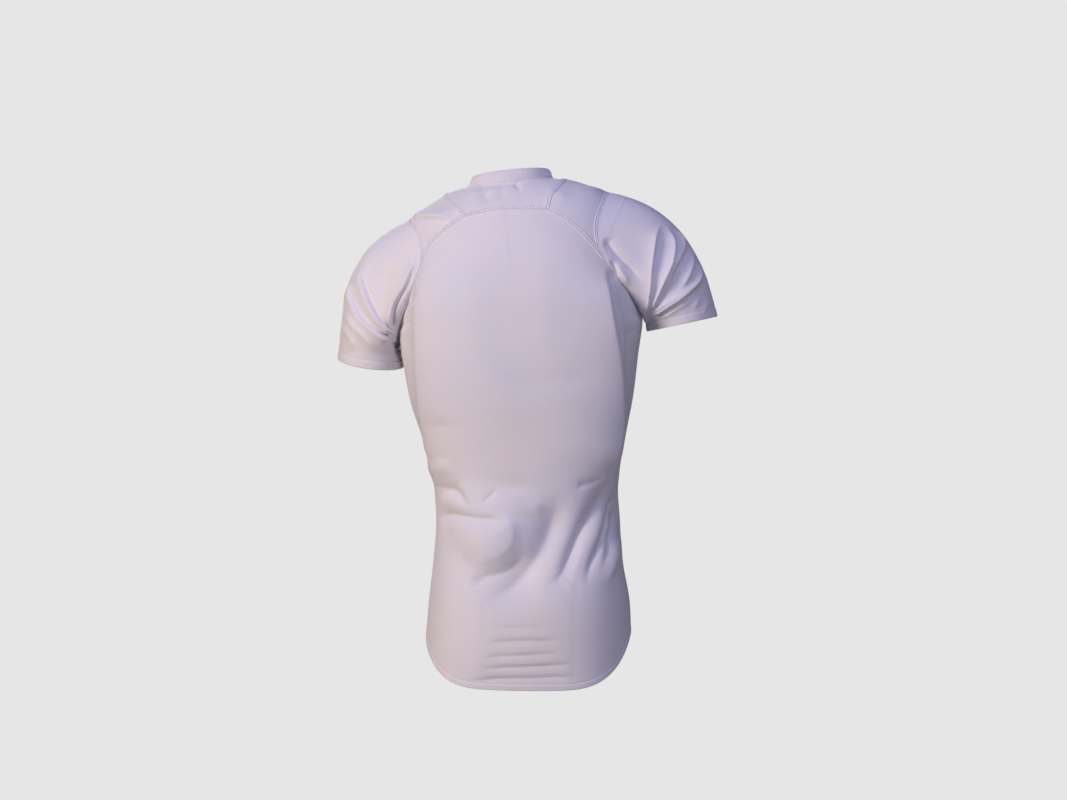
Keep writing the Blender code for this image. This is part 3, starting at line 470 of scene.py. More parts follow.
def insert_height(turn, level, points):
    """Height of the plateau: the product of the shares of its four sides and two corners."""
    left = turn < 0.0
    from_side = inside_side_seam(turn, level)
    from_top = INSERT_TOP - points[..., 2]
    from_corner = (from_side + from_top - INSERT_CORNER) / np.sqrt(2.0)
    side = np.where(left, edge_share(from_side, "left"), edge_share(from_side, "right"))
    corner = np.where(left, edge_share(from_corner, "corner_left"),
                      edge_share(from_corner, "corner_right"))
    return (INSERT_PROUD * side * corner * edge_share(from_top, "top")
            * edge_share(points[..., 2] - INSERT_BOTTOM, "bottom"))


# %% The folded skin and its normals
TURN_STEP, LEVEL_STEP, PART_STEP = 0.25, 0.0006, 0.002     # degrees, m and share of a sleeve


def normals_of(surface, first, second, step_first, step_second):
    """Outward normals: the cross product of the small steps along both numbers."""
    along_first = surface(first + step_first, second) - surface(first - step_first, second)
    along_second = surface(first, second + step_second) - surface(first, second - step_second)
    return unit(np.cross(along_first, along_second))


def body_skin(turn, level):
    """The body skin with its folds: ring point + normal x (folds + lobes + plateau)."""
    points = ring_point(turn, level)
    outward = normals_of(ring_point, turn, level, TURN_STEP, LEVEL_STEP)
    behind = smooth_step(*BACK_BEGINS, points[..., 1])
    height = behind * (fold_height(points, BACK_FOLDS) + puff_height(points, BACK_PUFFS)
                       + insert_height(turn, level, points))
    height += (1.0 - behind) * fold_height(points, FRONT_FOLDS)
    return points + outward * height[..., None]


def body_normals(turn, level):
    """Outward normals of the folded body skin."""
    return normals_of(body_skin, turn, level, TURN_STEP, LEVEL_STEP)


# %% [markdown]
# ## Seam lines
# The cut is drawn on the skin as lines of turn and level: the shirt-tail hem, the two
# armholes, the arched seam over the shoulder blades with its two short seams, the
# forward shoulder seams, and the seams between back, sides and front.

# %% Hem and armholes
NECK_LEVEL, NECK_TOP_LEVEL = 0.802, 0.818
HEM_BACK_LEVEL, HEM_FRONT_LEVEL, HEM_SIDE_LEVEL, HEM_SIDE_POWER = 0.0325, 0.078, 0.100, 5.0
ARMHOLE_TOP_LEVEL, ARMHOLE_LOW_LEVEL = 0.714, 0.533
ARMHOLE_BACK_REACH = {"left": 45.0, "right": 47.0}      # degrees of body turn
ARMHOLE_FRONT_REACH = 40.0
ARMHOLE_EGG = 0.16                  # how much wider an armhole is at its top
YOKE_TURN = -14.0                   # armhole turn where the forward shoulder seam ends
ARCH_TURN = {"left": 84.0, "right": 98.0}       # armhole turn where the arched seam ends
SIDE_FRONT_TURN = 232.0             # armhole turn where the side-front seam ends


def hem_level(turn):
    """Level of the hem: low behind and in front, raised towards the sides by |sin|^5."""
    base = np.where(np.cos(np.radians(turn)) > 0.0, HEM_BACK_LEVEL, HEM_FRONT_LEVEL)
    return base + (HEM_SIDE_LEVEL - base) * np.abs(np.sin(np.radians(turn))) ** HEM_SIDE_POWER


def armhole_line(side, arm_turn):
    """Body turn and level along an armhole, an egg: sine across, cosine up."""
    angle = np.radians(arm_turn)
    middle = 0.5 * (ARMHOLE_TOP_LEVEL + ARMHOLE_LOW_LEVEL)
    half = 0.5 * (ARMHOLE_TOP_LEVEL - ARMHOLE_LOW_LEVEL)
    reach = np.where(np.sin(angle) > 0.0, ARMHOLE_BACK_REACH[side], ARMHOLE_FRONT_REACH)
    turn = 90.0 - reach * np.sin(angle) * (1.0 + ARMHOLE_EGG * np.cos(angle))
    return np.stack([SIDE_SIGN[side] * turn, middle + half * np.cos(angle)], axis=-1)


def on_armhole(surface, side, arm_turn):
    """Points or normals of a body surface along an armhole."""
    return surface(*np.moveaxis(armhole_line(side, arm_turn), -1, 0))


# %% The arched seam
ARCH = np.array([                   # X and Z, wearer's left to right
    (0.1050, -0.082), (0.0800, -0.060), (0.0560, -0.045), (0.0350, -0.040), (0.0040, -0.036),
    (-0.0250, -0.036), (-0.0560, -0.037), (-0.0800, -0.049), (-0.1010, -0.067),
])
SHORT_SEAM_COLUMNS = ("foot_x", "bend_turn", "bend_level", "top_level")
SHORT_SEAMS = {
    "left": (0.0545, 46.0, 0.768, 0.774),
    "right": (-0.0575, 38.0, 0.778, 0.786),
}
FORWARD_SEAM_TURN = 101.0           # body turn of the forward shoulder seam
SIDE_FRONT_TURN_AT_HEM = 118.0      # body turn of the side-front seam at the hem
NEWTON_STEPS, NEWTON_TURN, NEWTON_LEVEL = 30, 8.0, 0.03     # and the longest steps
WIDEST_SINE = 0.9
ARCH_PLACES, SHORT_PLACES = 400, 60


def place_on_back(across, height):
    """Body turn and level of places seen from behind, by Newton's steps in X and Z."""
    turn = np.degrees(np.arcsin(np.clip(-across / HALF_WIDTHS.max(), -WIDEST_SINE, WIDEST_SINE)))
    level = height - RINGS[0, 1]
    for _ in range(NEWTON_STEPS):
        here = ring_point(turn, level)
        by_turn = (ring_point(turn + TURN_STEP, level) - here) / TURN_STEP
        by_level = (ring_point(turn, level + LEVEL_STEP) - here) / LEVEL_STEP
        miss_x, miss_z = across - here[..., 0], height - here[..., 2]
        size = by_turn[..., 0] * by_level[..., 2] - by_level[..., 0] * by_turn[..., 2]
        turn = turn + np.clip((miss_x * by_level[..., 2] - miss_z * by_level[..., 0]) / size,
                              -NEWTON_TURN, NEWTON_TURN)
        level = level + np.clip((miss_z * by_turn[..., 0] - miss_x * by_turn[..., 2]) / size,
                                -NEWTON_LEVEL, NEWTON_LEVEL)
    return np.stack([turn, level], axis=-1)


def lengths_along(points):
    """Distance from the first point to each point of a line."""
    return np.concatenate([[0.0], np.cumsum(np.linalg.norm(np.diff(points, axis=0), axis=1))])


def spaced_on_skin(line, count):
    """A line of turns and levels at count + 1 places evenly spaced on the cloth."""
    lengths = lengths_along(ring_point(line[:, 0], line[:, 1]))
    places = np.linspace(0.0, lengths[-1], count + 1)
    return np.stack([np.interp(places, lengths, line[:, k]) for k in range(2)], axis=1)


def arch_line(shoulder_cells, yoke_cells):
    """The arched seam in three stretches: left armhole, left foot, right foot, right armhole."""
    ends = [armhole_line(side, ARCH_TURN[side])[None] for side in SIDES]
    rough = np.vstack([ends[0], place_on_back(ARCH[:, 0], ARCH[:, 1]), ends[1]])
    lengths = lengths_along(ring_point(rough[:, 0], rough[:, 1]))
    fine = smooth_columns(np.column_stack([lengths, rough]), np.linspace(0.0, lengths[-1], ARCH_PLACES))
    across = ring_point(fine[:, 0], fine[:, 1])[:, 0]
    foot_x = SHORT_SEAM_COLUMNS.index("foot_x")
    left_foot, right_foot = (int(np.argmin(np.abs(across - SHORT_SEAMS[side][foot_x])))
                             for side in SIDES)
    return (spaced_on_skin(fine[:left_foot + 1], shoulder_cells),
            spaced_on_skin(fine[left_foot:right_foot + 1], yoke_cells),
            spaced_on_skin(fine[right_foot:], shoulder_cells))


def short_seam(side, foot, cells):
    """Short slanting seam, a quadratic curve from its foot on the arch to the forward seam."""
    seam = dict(zip(SHORT_SEAM_COLUMNS, SHORT_SEAMS[side]))
    top = np.array([SIDE_SIGN[side] * FORWARD_SEAM_TURN, seam["top_level"]])
    bend = np.array([SIDE_SIGN[side] * seam["bend_turn"], seam["bend_level"]])
    part = np.linspace(0.0, 1.0, SHORT_PLACES)[:, None]
    curve = foot * (1 - part) ** 2 + bend * 2 * part * (1 - part) + top * part ** 2
    return spaced_on_skin(curve, cells)


# %% [markdown]
# ## Grids between seam lines
# Every panel is a grid with four sides. The cloth near the hem and in the folds needs
# closer rows, so the rows follow a density: high where the detail is.

# %% Grid counts and row places
SIDE_ROWS, SIDE_COLUMNS = 300, 50
SHOULDER_COLUMNS, YOKE_COLUMNS = 44, 56
ARM_SHOULDER_CELLS, ARM_FRONT_CELLS = 50, 50
FORWARD_YOKE_CELLS, FRONT_COLUMNS = 12, 84
SLEEVE_ROWS, SLEEVE_COLUMNS_ROUND, BAND_ROWS = 120, 250, 12
BOW_FADE = 3.0
HEM_CROWD = (3.5, 0.0, 0.030)       # extra density, middle and width, as shares of the seam
FOLD_CROWD = (1.0, 0.22, 0.24)
SIDE_SEAM_LENGTH = 620.0            # mm, about
DENSITY_PLACES = 2000


def row_parts(count, crowds):
    """Places of the rows, shares of the length, by the summed density 1 + sum a exp(-((p-m)/w)^2)."""
    part = np.linspace(0.0, 1.0, DENSITY_PLACES)
    density = 1.0 + sum(extra * np.exp(-((part - middle) / width) ** 2)
                        for extra, middle, width in crowds)
    total = np.concatenate([[0.0], np.cumsum(0.5 * (density[1:] + density[:-1]))])
    return np.interp(np.linspace(0.0, total[-1], count + 1), total, part)


SIDE_PARTS = row_parts(SIDE_ROWS, (HEM_CROWD, FOLD_CROWD))
ROW_GAPS = SIDE_SEAM_LENGTH * np.diff(SIDE_PARTS)
print("rows lie %.2f to %.2f mm apart" % (ROW_GAPS.min(), ROW_GAPS.max()))


# %% Side seams, hem and the fill between four lines
SEAM_FOOT_RISE = 0.01               # above the hem at the centre back


def side_back_line(side):
    """Seam between back and side panel, hem to armhole."""
    table = SIDE_BACK[:, (0, SIDE_BACK_COLUMNS.index("turn_" + side))].copy()
    top = armhole_line(side, ARCH_TURN[side])
    table[-1] = (top[1], SIDE_SIGN[side] * top[0])
    foot_turn = float(smooth_columns(table, np.array([HEM_BACK_LEVEL + SEAM_FOOT_RISE]))[0, 0])
    levels = hem_level(foot_turn) + (top[1] - hem_level(foot_turn)) * SIDE_PARTS
    return np.column_stack([SIDE_SIGN[side] * smooth_columns(table, levels)[:, 0], levels])


def side_front_line(side):
    """Seam between side and front panel, hem to armhole."""
    top = armhole_line(side, SIDE_FRONT_TURN)
    foot_turn = SIDE_SIGN[side] * SIDE_FRONT_TURN_AT_HEM
    turn = foot_turn + (top[0] - foot_turn) * smooth_step(0.0, 1.0, SIDE_PARTS)
    level = hem_level(foot_turn) + (top[1] - hem_level(foot_turn)) * SIDE_PARTS
    return np.column_stack([turn, level])


def forward_seam(side):
    """The forward shoulder seam in two stretches: armhole to short seam, short seam to neck."""
    outer_end = armhole_line(side, np.array(YOKE_TURN))
    short_top = np.array([SIDE_SIGN[side] * FORWARD_SEAM_TURN,
                          SHORT_SEAMS[side][SHORT_SEAM_COLUMNS.index("top_level")]])
    neck_end = np.array([SIDE_SIGN[side] * FORWARD_SEAM_TURN, NECK_LEVEL])
    return (np.linspace(outer_end, short_top, SHOULDER_COLUMNS + 1),
            np.linspace(short_top, neck_end, FORWARD_YOKE_CELLS + 1))


def hem_line(from_turn, to_turn, count):
    """The hem between two body turns, at count + 1 places."""
    turn = np.linspace(from_turn, to_turn, count + 1)
    return np.column_stack([turn, hem_level(turn)])


def fill(bottom, top, first, last):
    """Grid between four lines.

    Rows run straight from the first line to the last. The bows of the bottom and the
    top line are added, times (1 - share)^3 and share^3 of the way up.
    """
    across = np.linspace(0.0, 1.0, len(bottom))[None, :, None]
    along = np.linspace(0.0, 1.0, len(first))[:, None, None]
    bottom_bow = bottom - (bottom[0] * (1 - across) + bottom[-1] * across)
    top_bow = top - (top[0] * (1 - across) + top[-1] * across)
    return (first[:, None] * (1 - across) + last[:, None] * across
            + bottom_bow * (1 - along) ** BOW_FADE + top_bow * along ** BOW_FADE)


# %% [markdown]
# ## Materials
# The cloth is a smooth white stretch jersey with a faint lilac cast. Real jersey is
# columns of small V-shaped loops, here 1.1 mm wide, so the bump is a chevron wave in the
# cloth's own UV, in metres. A large slow noise gives the faint pink and blue clouding of
# the cloth, and sheen gives the pale edge that brushed synthetic fibres have.

# %% Knit material
LOOP_WIDTH, LOOP_HEIGHT, LOOP_SLANT = 0.0011, 0.0009, 2.2
LOOP_RIDGE = 0.8                    # height of a column of loops over that of a loop
BUMP_DISTANCE = 0.00012
CLOUD_SCALE, CLOUD_DETAIL, CLOUD_RANGE = 9.0, 3.0, (0.35, 0.65)
CLOTH_ROUGHNESS, CLOTH_SHEEN, SHEEN_ROUGHNESS, SPECULAR_LEVEL = 0.62, 0.25, 0.45, 0.35
CLOTH_UV = "cloth"


def new_material(name, roughness, sheen):
    """A Principled material and its shader node."""
    material = bpy.data.materials.new(name)
    material.use_nodes = True
    shader = material.node_tree.nodes["Principled BSDF"]
    shader.inputs["Roughness"].default_value = roughness
    shader.inputs["Sheen Weight"].default_value = sheen
    shader.inputs["Sheen Roughness"].default_value = SHEEN_ROUGHNESS
    shader.inputs["Specular IOR Level"].default_value = SPECULAR_LEVEL
    return material, shader


def add_node(tree, kind, inputs=(), **settings):
    """A shader node with its settings; inputs are (socket, value or other socket)."""
    node = tree.nodes.new(kind)
    for setting, value in settings.items():
        setattr(node, setting, value)
    for socket, value in inputs:
        if isinstance(value, bpy.types.NodeSocket):
            tree.links.new(value, node.inputs[socket])
        else:
            node.inputs[socket].default_value = value
    return node


def math_node(tree, operation, first, second=0.0):
    """The result of one step of arithmetic in a shader."""
    return add_node(tree, "ShaderNodeMath", [(0, first), (1, second)], operation=operation).outputs[0]


def knit_height(tree, width, height, slant):
    """Chevron wave: sin(2 pi v / height + slant c) + LOOP_RIDGE c, where c = |sin(pi u / width)|."""
    uv = add_node(tree, "ShaderNodeUVMap", uv_map=CLOTH_UV).outputs[0]
    parts = add_node(tree, "ShaderNodeSeparateXYZ", [(0, uv)])
    column = math_node(tree, "ABSOLUTE", math_node(tree, "SINE", math_node(
        tree, "MULTIPLY", parts.outputs[0], np.pi / width)))
    row = math_node(tree, "MULTIPLY", parts.outputs[1], 2.0 * np.pi / height)
    slanted = math_node(tree, "ADD", row, math_node(tree, "MULTIPLY", column, slant))
    loops = math_node(tree, "SINE", slanted)
    return math_node(tree, "ADD", loops, math_node(tree, "MULTIPLY", column, LOOP_RIDGE))


def cloth_material(name, pale, cool, bump, width=LOOP_WIDTH, height=LOOP_HEIGHT, slant=LOOP_SLANT):
    """Jersey: two near colours clouded by slow noise, a chevron bump, soft sheen."""
    material, shader = new_material(name, CLOTH_ROUGHNESS, CLOTH_SHEEN)
    tree = material.node_tree
    place = add_node(tree, "ShaderNodeTexCoord").outputs["Object"]
    cloud = add_node(tree, "ShaderNodeTexNoise", [("Vector", place), ("Scale", CLOUD_SCALE),
                                                  ("Detail", CLOUD_DETAIL)])
    share = add_node(tree, "ShaderNodeMapRange", [
        ("Value", cloud.outputs["Fac"]), ("From Min", CLOUD_RANGE[0]), ("From Max", CLOUD_RANGE[1])])
    colour = add_node(tree, "ShaderNodeMix", [("Factor", share.outputs[0]), (6, pale), (7, cool)],
                      data_type="RGBA")
    tree.links.new(colour.outputs[2], shader.inputs["Base Color"])
    wave = knit_height(tree, width, height, slant)
    relief = add_node(tree, "ShaderNodeBump", [("Height", wave), ("Strength", bump),
                                               ("Distance", BUMP_DISTANCE)])
    tree.links.new(relief.outputs[0], shader.inputs["Normal"])
    return material


KNIT = cloth_material("white_jersey", pale=(0.80, 0.755, 0.80, 1.0), cool=(0.755, 0.735, 0.82, 1.0),
                      bump=0.5)
RIB = cloth_material("rib_knit", pale=(0.80, 0.75, 0.79, 1.0), cool=(0.76, 0.73, 0.80, 1.0),
                     bump=0.8, width=0.0016, height=0.0009, slant=1.6)
THREAD, thread_shader = new_material("sewing_thread", roughness=0.45, sheen=0.15)
thread_shader.inputs["Base Color"].default_value = (0.80, 0.76, 0.82, 1.0)
print("materials:", [m.name for m in (KNIT, RIB, THREAD)])

# %% [markdown]
# ## From a grid to a piece
# A mesh from a grid needs only index arrays. The UV holds the place in the cloth in
# metres, so that the knit has one size everywhere. Solidify gives the wall its
# thickness inwards, which leaves the outer skin where it was worked out.

# %% Grid to mesh
WALL, BAND_WALL = 0.0012, 0.0020


def grid_quads(rows, columns, closed=False):
    """Corners of every cell, row by row. A closed grid joins its last column to the first."""
    number = np.arange(rows * columns).reshape(rows, columns)
    if closed:
        number = np.column_stack([number, number[:, :1]])
    corners = (number[:-1, :-1], number[:-1, 1:], number[1:, 1:], number[1:, :-1])
    return np.stack(corners, -1).reshape(-1, 4)


def grid_uv(across, upward):
    """UV of every point of a grid, from its places across and upward, in metres."""
    return np.stack(np.broadcast_arrays(across[None], upward[:, None]), -1).reshape(-1, 2)


def make_mesh(name, vertices, quads, material, uv=None):
    """A smooth-shaded mesh object at the origin. uv has one row for each vertex."""
    mesh = bpy.data.meshes.new(name)
    mesh.from_pydata(vertices, [], quads)
    mesh.shade_smooth()
    if uv is not None:
        layer = mesh.uv_layers.new(name=CLOTH_UV)
        layer.data.foreach_set("uv", uv[quads.ravel()].astype(np.float32).ravel())
    mesh.materials.append(material)
    piece = bpy.data.objects.new(name, mesh)
    bpy.context.collection.objects.link(piece)
    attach(piece, "root")
    return piece


def sharpen_border(mesh, rows, columns, closed):
    """Marks a grid's border edges sharp, so that the wall's thin rim doesn't bend its shading."""
    ends = np.empty(2 * len(mesh.edges), dtype=np.int32)
    mesh.edges.foreach_get("vertices", ends)
    row, column = np.divmod(ends.reshape(-1, 2), columns)
    border = (row[:, 0] == row[:, 1]) & np.isin(row[:, 0], (0, rows - 1))
    if not closed:
        border |= (column[:, 0] == column[:, 1]) & np.isin(column[:, 0], (0, columns - 1))
    mesh.attributes.new("sharp_edge", "BOOLEAN", "EDGE").data.foreach_set("value", border)


def cloth_piece(node, points, flip=False, closed=False, material=KNIT, wall=WALL):
    """The fine shell that stands for a node.

    UV is the distance along the middle row and along the middle column, in metres.
    """
    rows, columns = points.shape[:2]
    across = lengths_along(points[rows // 2])
    upward = lengths_along(points[:, columns // 2])
    quads = grid_quads(rows, columns, closed)
    if flip:
        quads = quads[:, ::-1]
    piece = make_mesh(node + "_cloth", points.reshape(-1, 3), quads, material, grid_uv(across, upward))
    sharpen_border(piece.data, rows, columns, closed)
    thick = piece.modifiers.new("wall", "SOLIDIFY")
    thick.thickness = wall
    thick.offset = -1.0
    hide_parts(node)
    a, b, c, d = (points.reshape(-1, 3)[quads[:, k]] for k in range(4))
    area = 0.5 * np.linalg.norm(np.cross(c - a, d - b), axis=1).sum()
    print("%-22s %6d cells, %.3f m across, %.3f m long, %.4f m2"
          % (node, len(quads), across[-1], upward[-1], area))
    return piece


# %% [markdown]
# ## Hems
# A hem is the cloth folded up once and stitched with two needles. It is a little thicker
# than the cloth above it and ends in a shallow groove, where the threads pull it in.

# %% Relief of a hem
HEM_WIDTH, SLEEVE_HEM_WIDTH = 0.0085, 0.0120
HEM_PROUD, GROOVE_DEPTH, GROOVE_WIDTH = 0.0006, 0.0005, 0.0009
HEM_STEP_HALF, HEM_EDGE = 0.0010, 0.0012        # widths of the step and of the rounded edge
SEAM_SUNK, SEAM_SUNK_WIDTH = 0.00012, 0.0016


def hem_relief(from_edge, width):
    """Height over the distance from the edge: a step of 0.6 mm that ends in a bell-shaped groove."""
    step = HEM_PROUD * (1.0 - smooth_step(width - HEM_STEP_HALF, width + HEM_STEP_HALF, from_edge))
    groove = GROOVE_DEPTH * np.exp(-((from_edge - width) / GROOVE_WIDTH) ** 2)
    edge = HEM_PROUD * (1.0 - smooth_step(0.0, HEM_EDGE, from_edge))
    return step - groove - edge


def body_cloth(grid):
    """The folded skin at a grid's turns and levels, with hem and side-back seams in relief on it."""
    turn, level = grid[..., 0], grid[..., 1]
    seam = np.exp(-(inside_side_seam(turn, level) / SEAM_SUNK_WIDTH) ** 2)
    relief = hem_relief(level - hem_level(turn), HEM_WIDTH) - SEAM_SUNK * seam
    return body_skin(turn, level) + body_normals(turn, level) * relief[..., None]


# %% [markdown]
# ## Back panel, yoke and shoulders
# The arched seam parts the long back panel from the yoke. Two short seams part the
# yoke from the shoulder pieces.

# %% Lines of the back
arch_left, arch_yoke, arch_right = arch_line(SHOULDER_COLUMNS, YOKE_COLUMNS)
arch_all = np.vstack([arch_left, arch_yoke[1:], arch_right[1:]])
back_lines = {side: side_back_line(side) for side in SIDES}
back_lines["left"][-1], back_lines["right"][-1] = arch_left[0], arch_right[-1]
front_lines = {side: side_front_line(side) for side in SIDES}
forward_lines = {side: forward_seam(side) for side in SIDES}
shorts = {"left": short_seam("left", arch_yoke[0], ARM_SHOULDER_CELLS),
          "right": short_seam("right", arch_yoke[-1], ARM_SHOULDER_CELLS)}
SHOULDER_TURNS = {side: np.linspace(ARCH_TURN[side], YOKE_TURN, ARM_SHOULDER_CELLS + 1)
                  for side in SIDES}
SIDE_TURNS = {side: np.linspace(ARCH_TURN[side], SIDE_FRONT_TURN, SIDE_COLUMNS + 1)
              for side in SIDES}
FRONT_TURNS = np.linspace(SIDE_FRONT_TURN, 360.0 + YOKE_TURN, ARM_FRONT_CELLS + 1)

# %% Pieces of the back
back_hem = hem_line(back_lines["left"][0, 0], back_lines["right"][0, 0], len(arch_all) - 1)
back_cloth = cloth_piece("back_panel", body_cloth(
    fill(back_hem, arch_all, back_lines["left"], back_lines["right"])))

yoke_foot = np.vstack([shorts["left"][::-1], arch_yoke[1:-1], shorts["right"]])
neck_back = np.column_stack([np.linspace(-FORWARD_SEAM_TURN, FORWARD_SEAM_TURN, len(yoke_foot)),
                             np.full(len(yoke_foot), NECK_LEVEL)])
yoke_cloth = cloth_piece("back_yoke", body_cloth(
    fill(yoke_foot, neck_back, forward_lines["left"][1], forward_lines["right"][1])))

arm_edges = {side: armhole_line(side, SHOULDER_TURNS[side]) for side in SIDES}
shoulder_cloth = {
    "left": cloth_piece("shoulder_left", body_cloth(
        fill(arch_left, forward_lines["left"][0], arm_edges["left"], shorts["left"]))),
    "right": cloth_piece("shoulder_right", body_cloth(
        fill(arch_right, forward_lines["right"][0][::-1], shorts["right"], arm_edges["right"]))),
}

# %% [markdown]
# ## Side panels and front
# The side panels run from the side-back seam under the arm to the side-front seam. The
# front is one large panel up to the neck.

# %% Side panels
for side in SIDES:
    hem = hem_line(back_lines[side][0, 0], front_lines[side][0, 0], SIDE_COLUMNS)
    grid = fill(hem, armhole_line(side, SIDE_TURNS[side]), back_lines[side], front_lines[side])
    if side == "left":
        grid = grid[:, ::-1]
    cloth_piece("side_panel_" + side, body_cloth(grid))

# %% Front panel


def front_edge(side):
    """Edge of the front panel: side-front seam, armhole, forward shoulder seam."""
    outer, inner = forward_lines[side]
    return np.vstack([front_lines[side], armhole_line(side, FRONT_TURNS)[1:], outer[1:], inner[1:]])


front_first, front_last = front_edge("right"), front_edge("left") + np.array([360.0, 0.0])
front_neck = np.column_stack([np.linspace(front_first[-1, 0], front_last[-1, 0], FRONT_COLUMNS + 1),
                              np.full(FRONT_COLUMNS + 1, NECK_LEVEL)])
front_cloth = cloth_piece("front_panel", body_cloth(fill(
    hem_line(front_first[0, 0], front_last[0, 0], FRONT_COLUMNS), front_neck, front_first, front_last)))

# %% [markdown]
# ## Neck band
# The neck band is a doubled strip of fine rib. Its ribs stand up, so they are raised in
# the mesh: a sine wave round the neck, and a rounded upper edge.

# %% Neck band
RIB_COUNT, RIB_RAISE = 150, 0.00022
BAND_ROLL, BAND_ROLL_FROM = 0.0012, 0.86        # its top edge rolls in
BAND_BULGE = 0.0010                 # its middle bulges
BAND_TUCK, BAND_TUCK_TO = 0.0004, 0.12          # its foot is drawn in by the seam
BAND_COLUMNS = 900
band_turn = np.linspace(0.0, 360.0, BAND_COLUMNS, endpoint=False)
band_part = np.linspace(0.0, 1.0, BAND_ROWS + 1)
band_turn, band_part = np.broadcast_arrays(band_turn[None], band_part[:, None])
band_level = NECK_LEVEL + (NECK_TOP_LEVEL - NECK_LEVEL) * band_part
band_points = ring_point(band_turn, band_level)
band_out = normals_of(ring_point, band_turn, band_level, TURN_STEP, LEVEL_STEP)
band_height = (RIB_RAISE * np.cos(np.radians(band_turn) * RIB_COUNT)
               - BAND_ROLL * smooth_step(BAND_ROLL_FROM, 1.0, band_part) ** 2
               + BAND_BULGE * np.sin(np.pi * band_part)
               - BAND_TUCK * smooth_step(BAND_TUCK_TO, 0.0, band_part))
neck_cloth = cloth_piece("neck_band", band_points + band_out * band_height[..., None], closed=True,
                         material=RIB, wall=BAND_WALL)

# %% [markdown]
# ## Sleeves
# A sleeve leaves the armhole sideways, steeper under the arm than on top, and comes down
# to its hem ring. A cubic curve for every place on the armhole gives that. Its folds all
# run to the armpit, where the cloth is pressed together.

# %% Shape of the sleeves
SLEEVE_COLUMNS = ("hem_x", "hem_y", "hem_z", "half_width", "half_depth", "outer_rise",
                  "back_drop", "cap_slope", "cap_reach", "under_reach")
SLEEVES = {
    "left": (0.2040, -0.012, -0.245, 0.0475, 0.056, 0.160, 0.190, 24.0, 0.320, 0.060),
    "right": (-0.2435, -0.008, -0.192, 0.0495, 0.057, 0.212, 0.050, 9.0, 0.290, 0.055),
}
UNDER_SLOPE, CAP_TURN_IN = 64.0, 0.10           # degrees, and a share of the direction
SLEEVE_FRONT_SHIFT = np.array([0.006, 0.0, 0.012])      # of the folds on the side that isn't seen
FOLDS_FROM, FOLDS_TO = (0.0, 0.10), (-0.15, 0.12)       # shares of the sleeve where folds fade

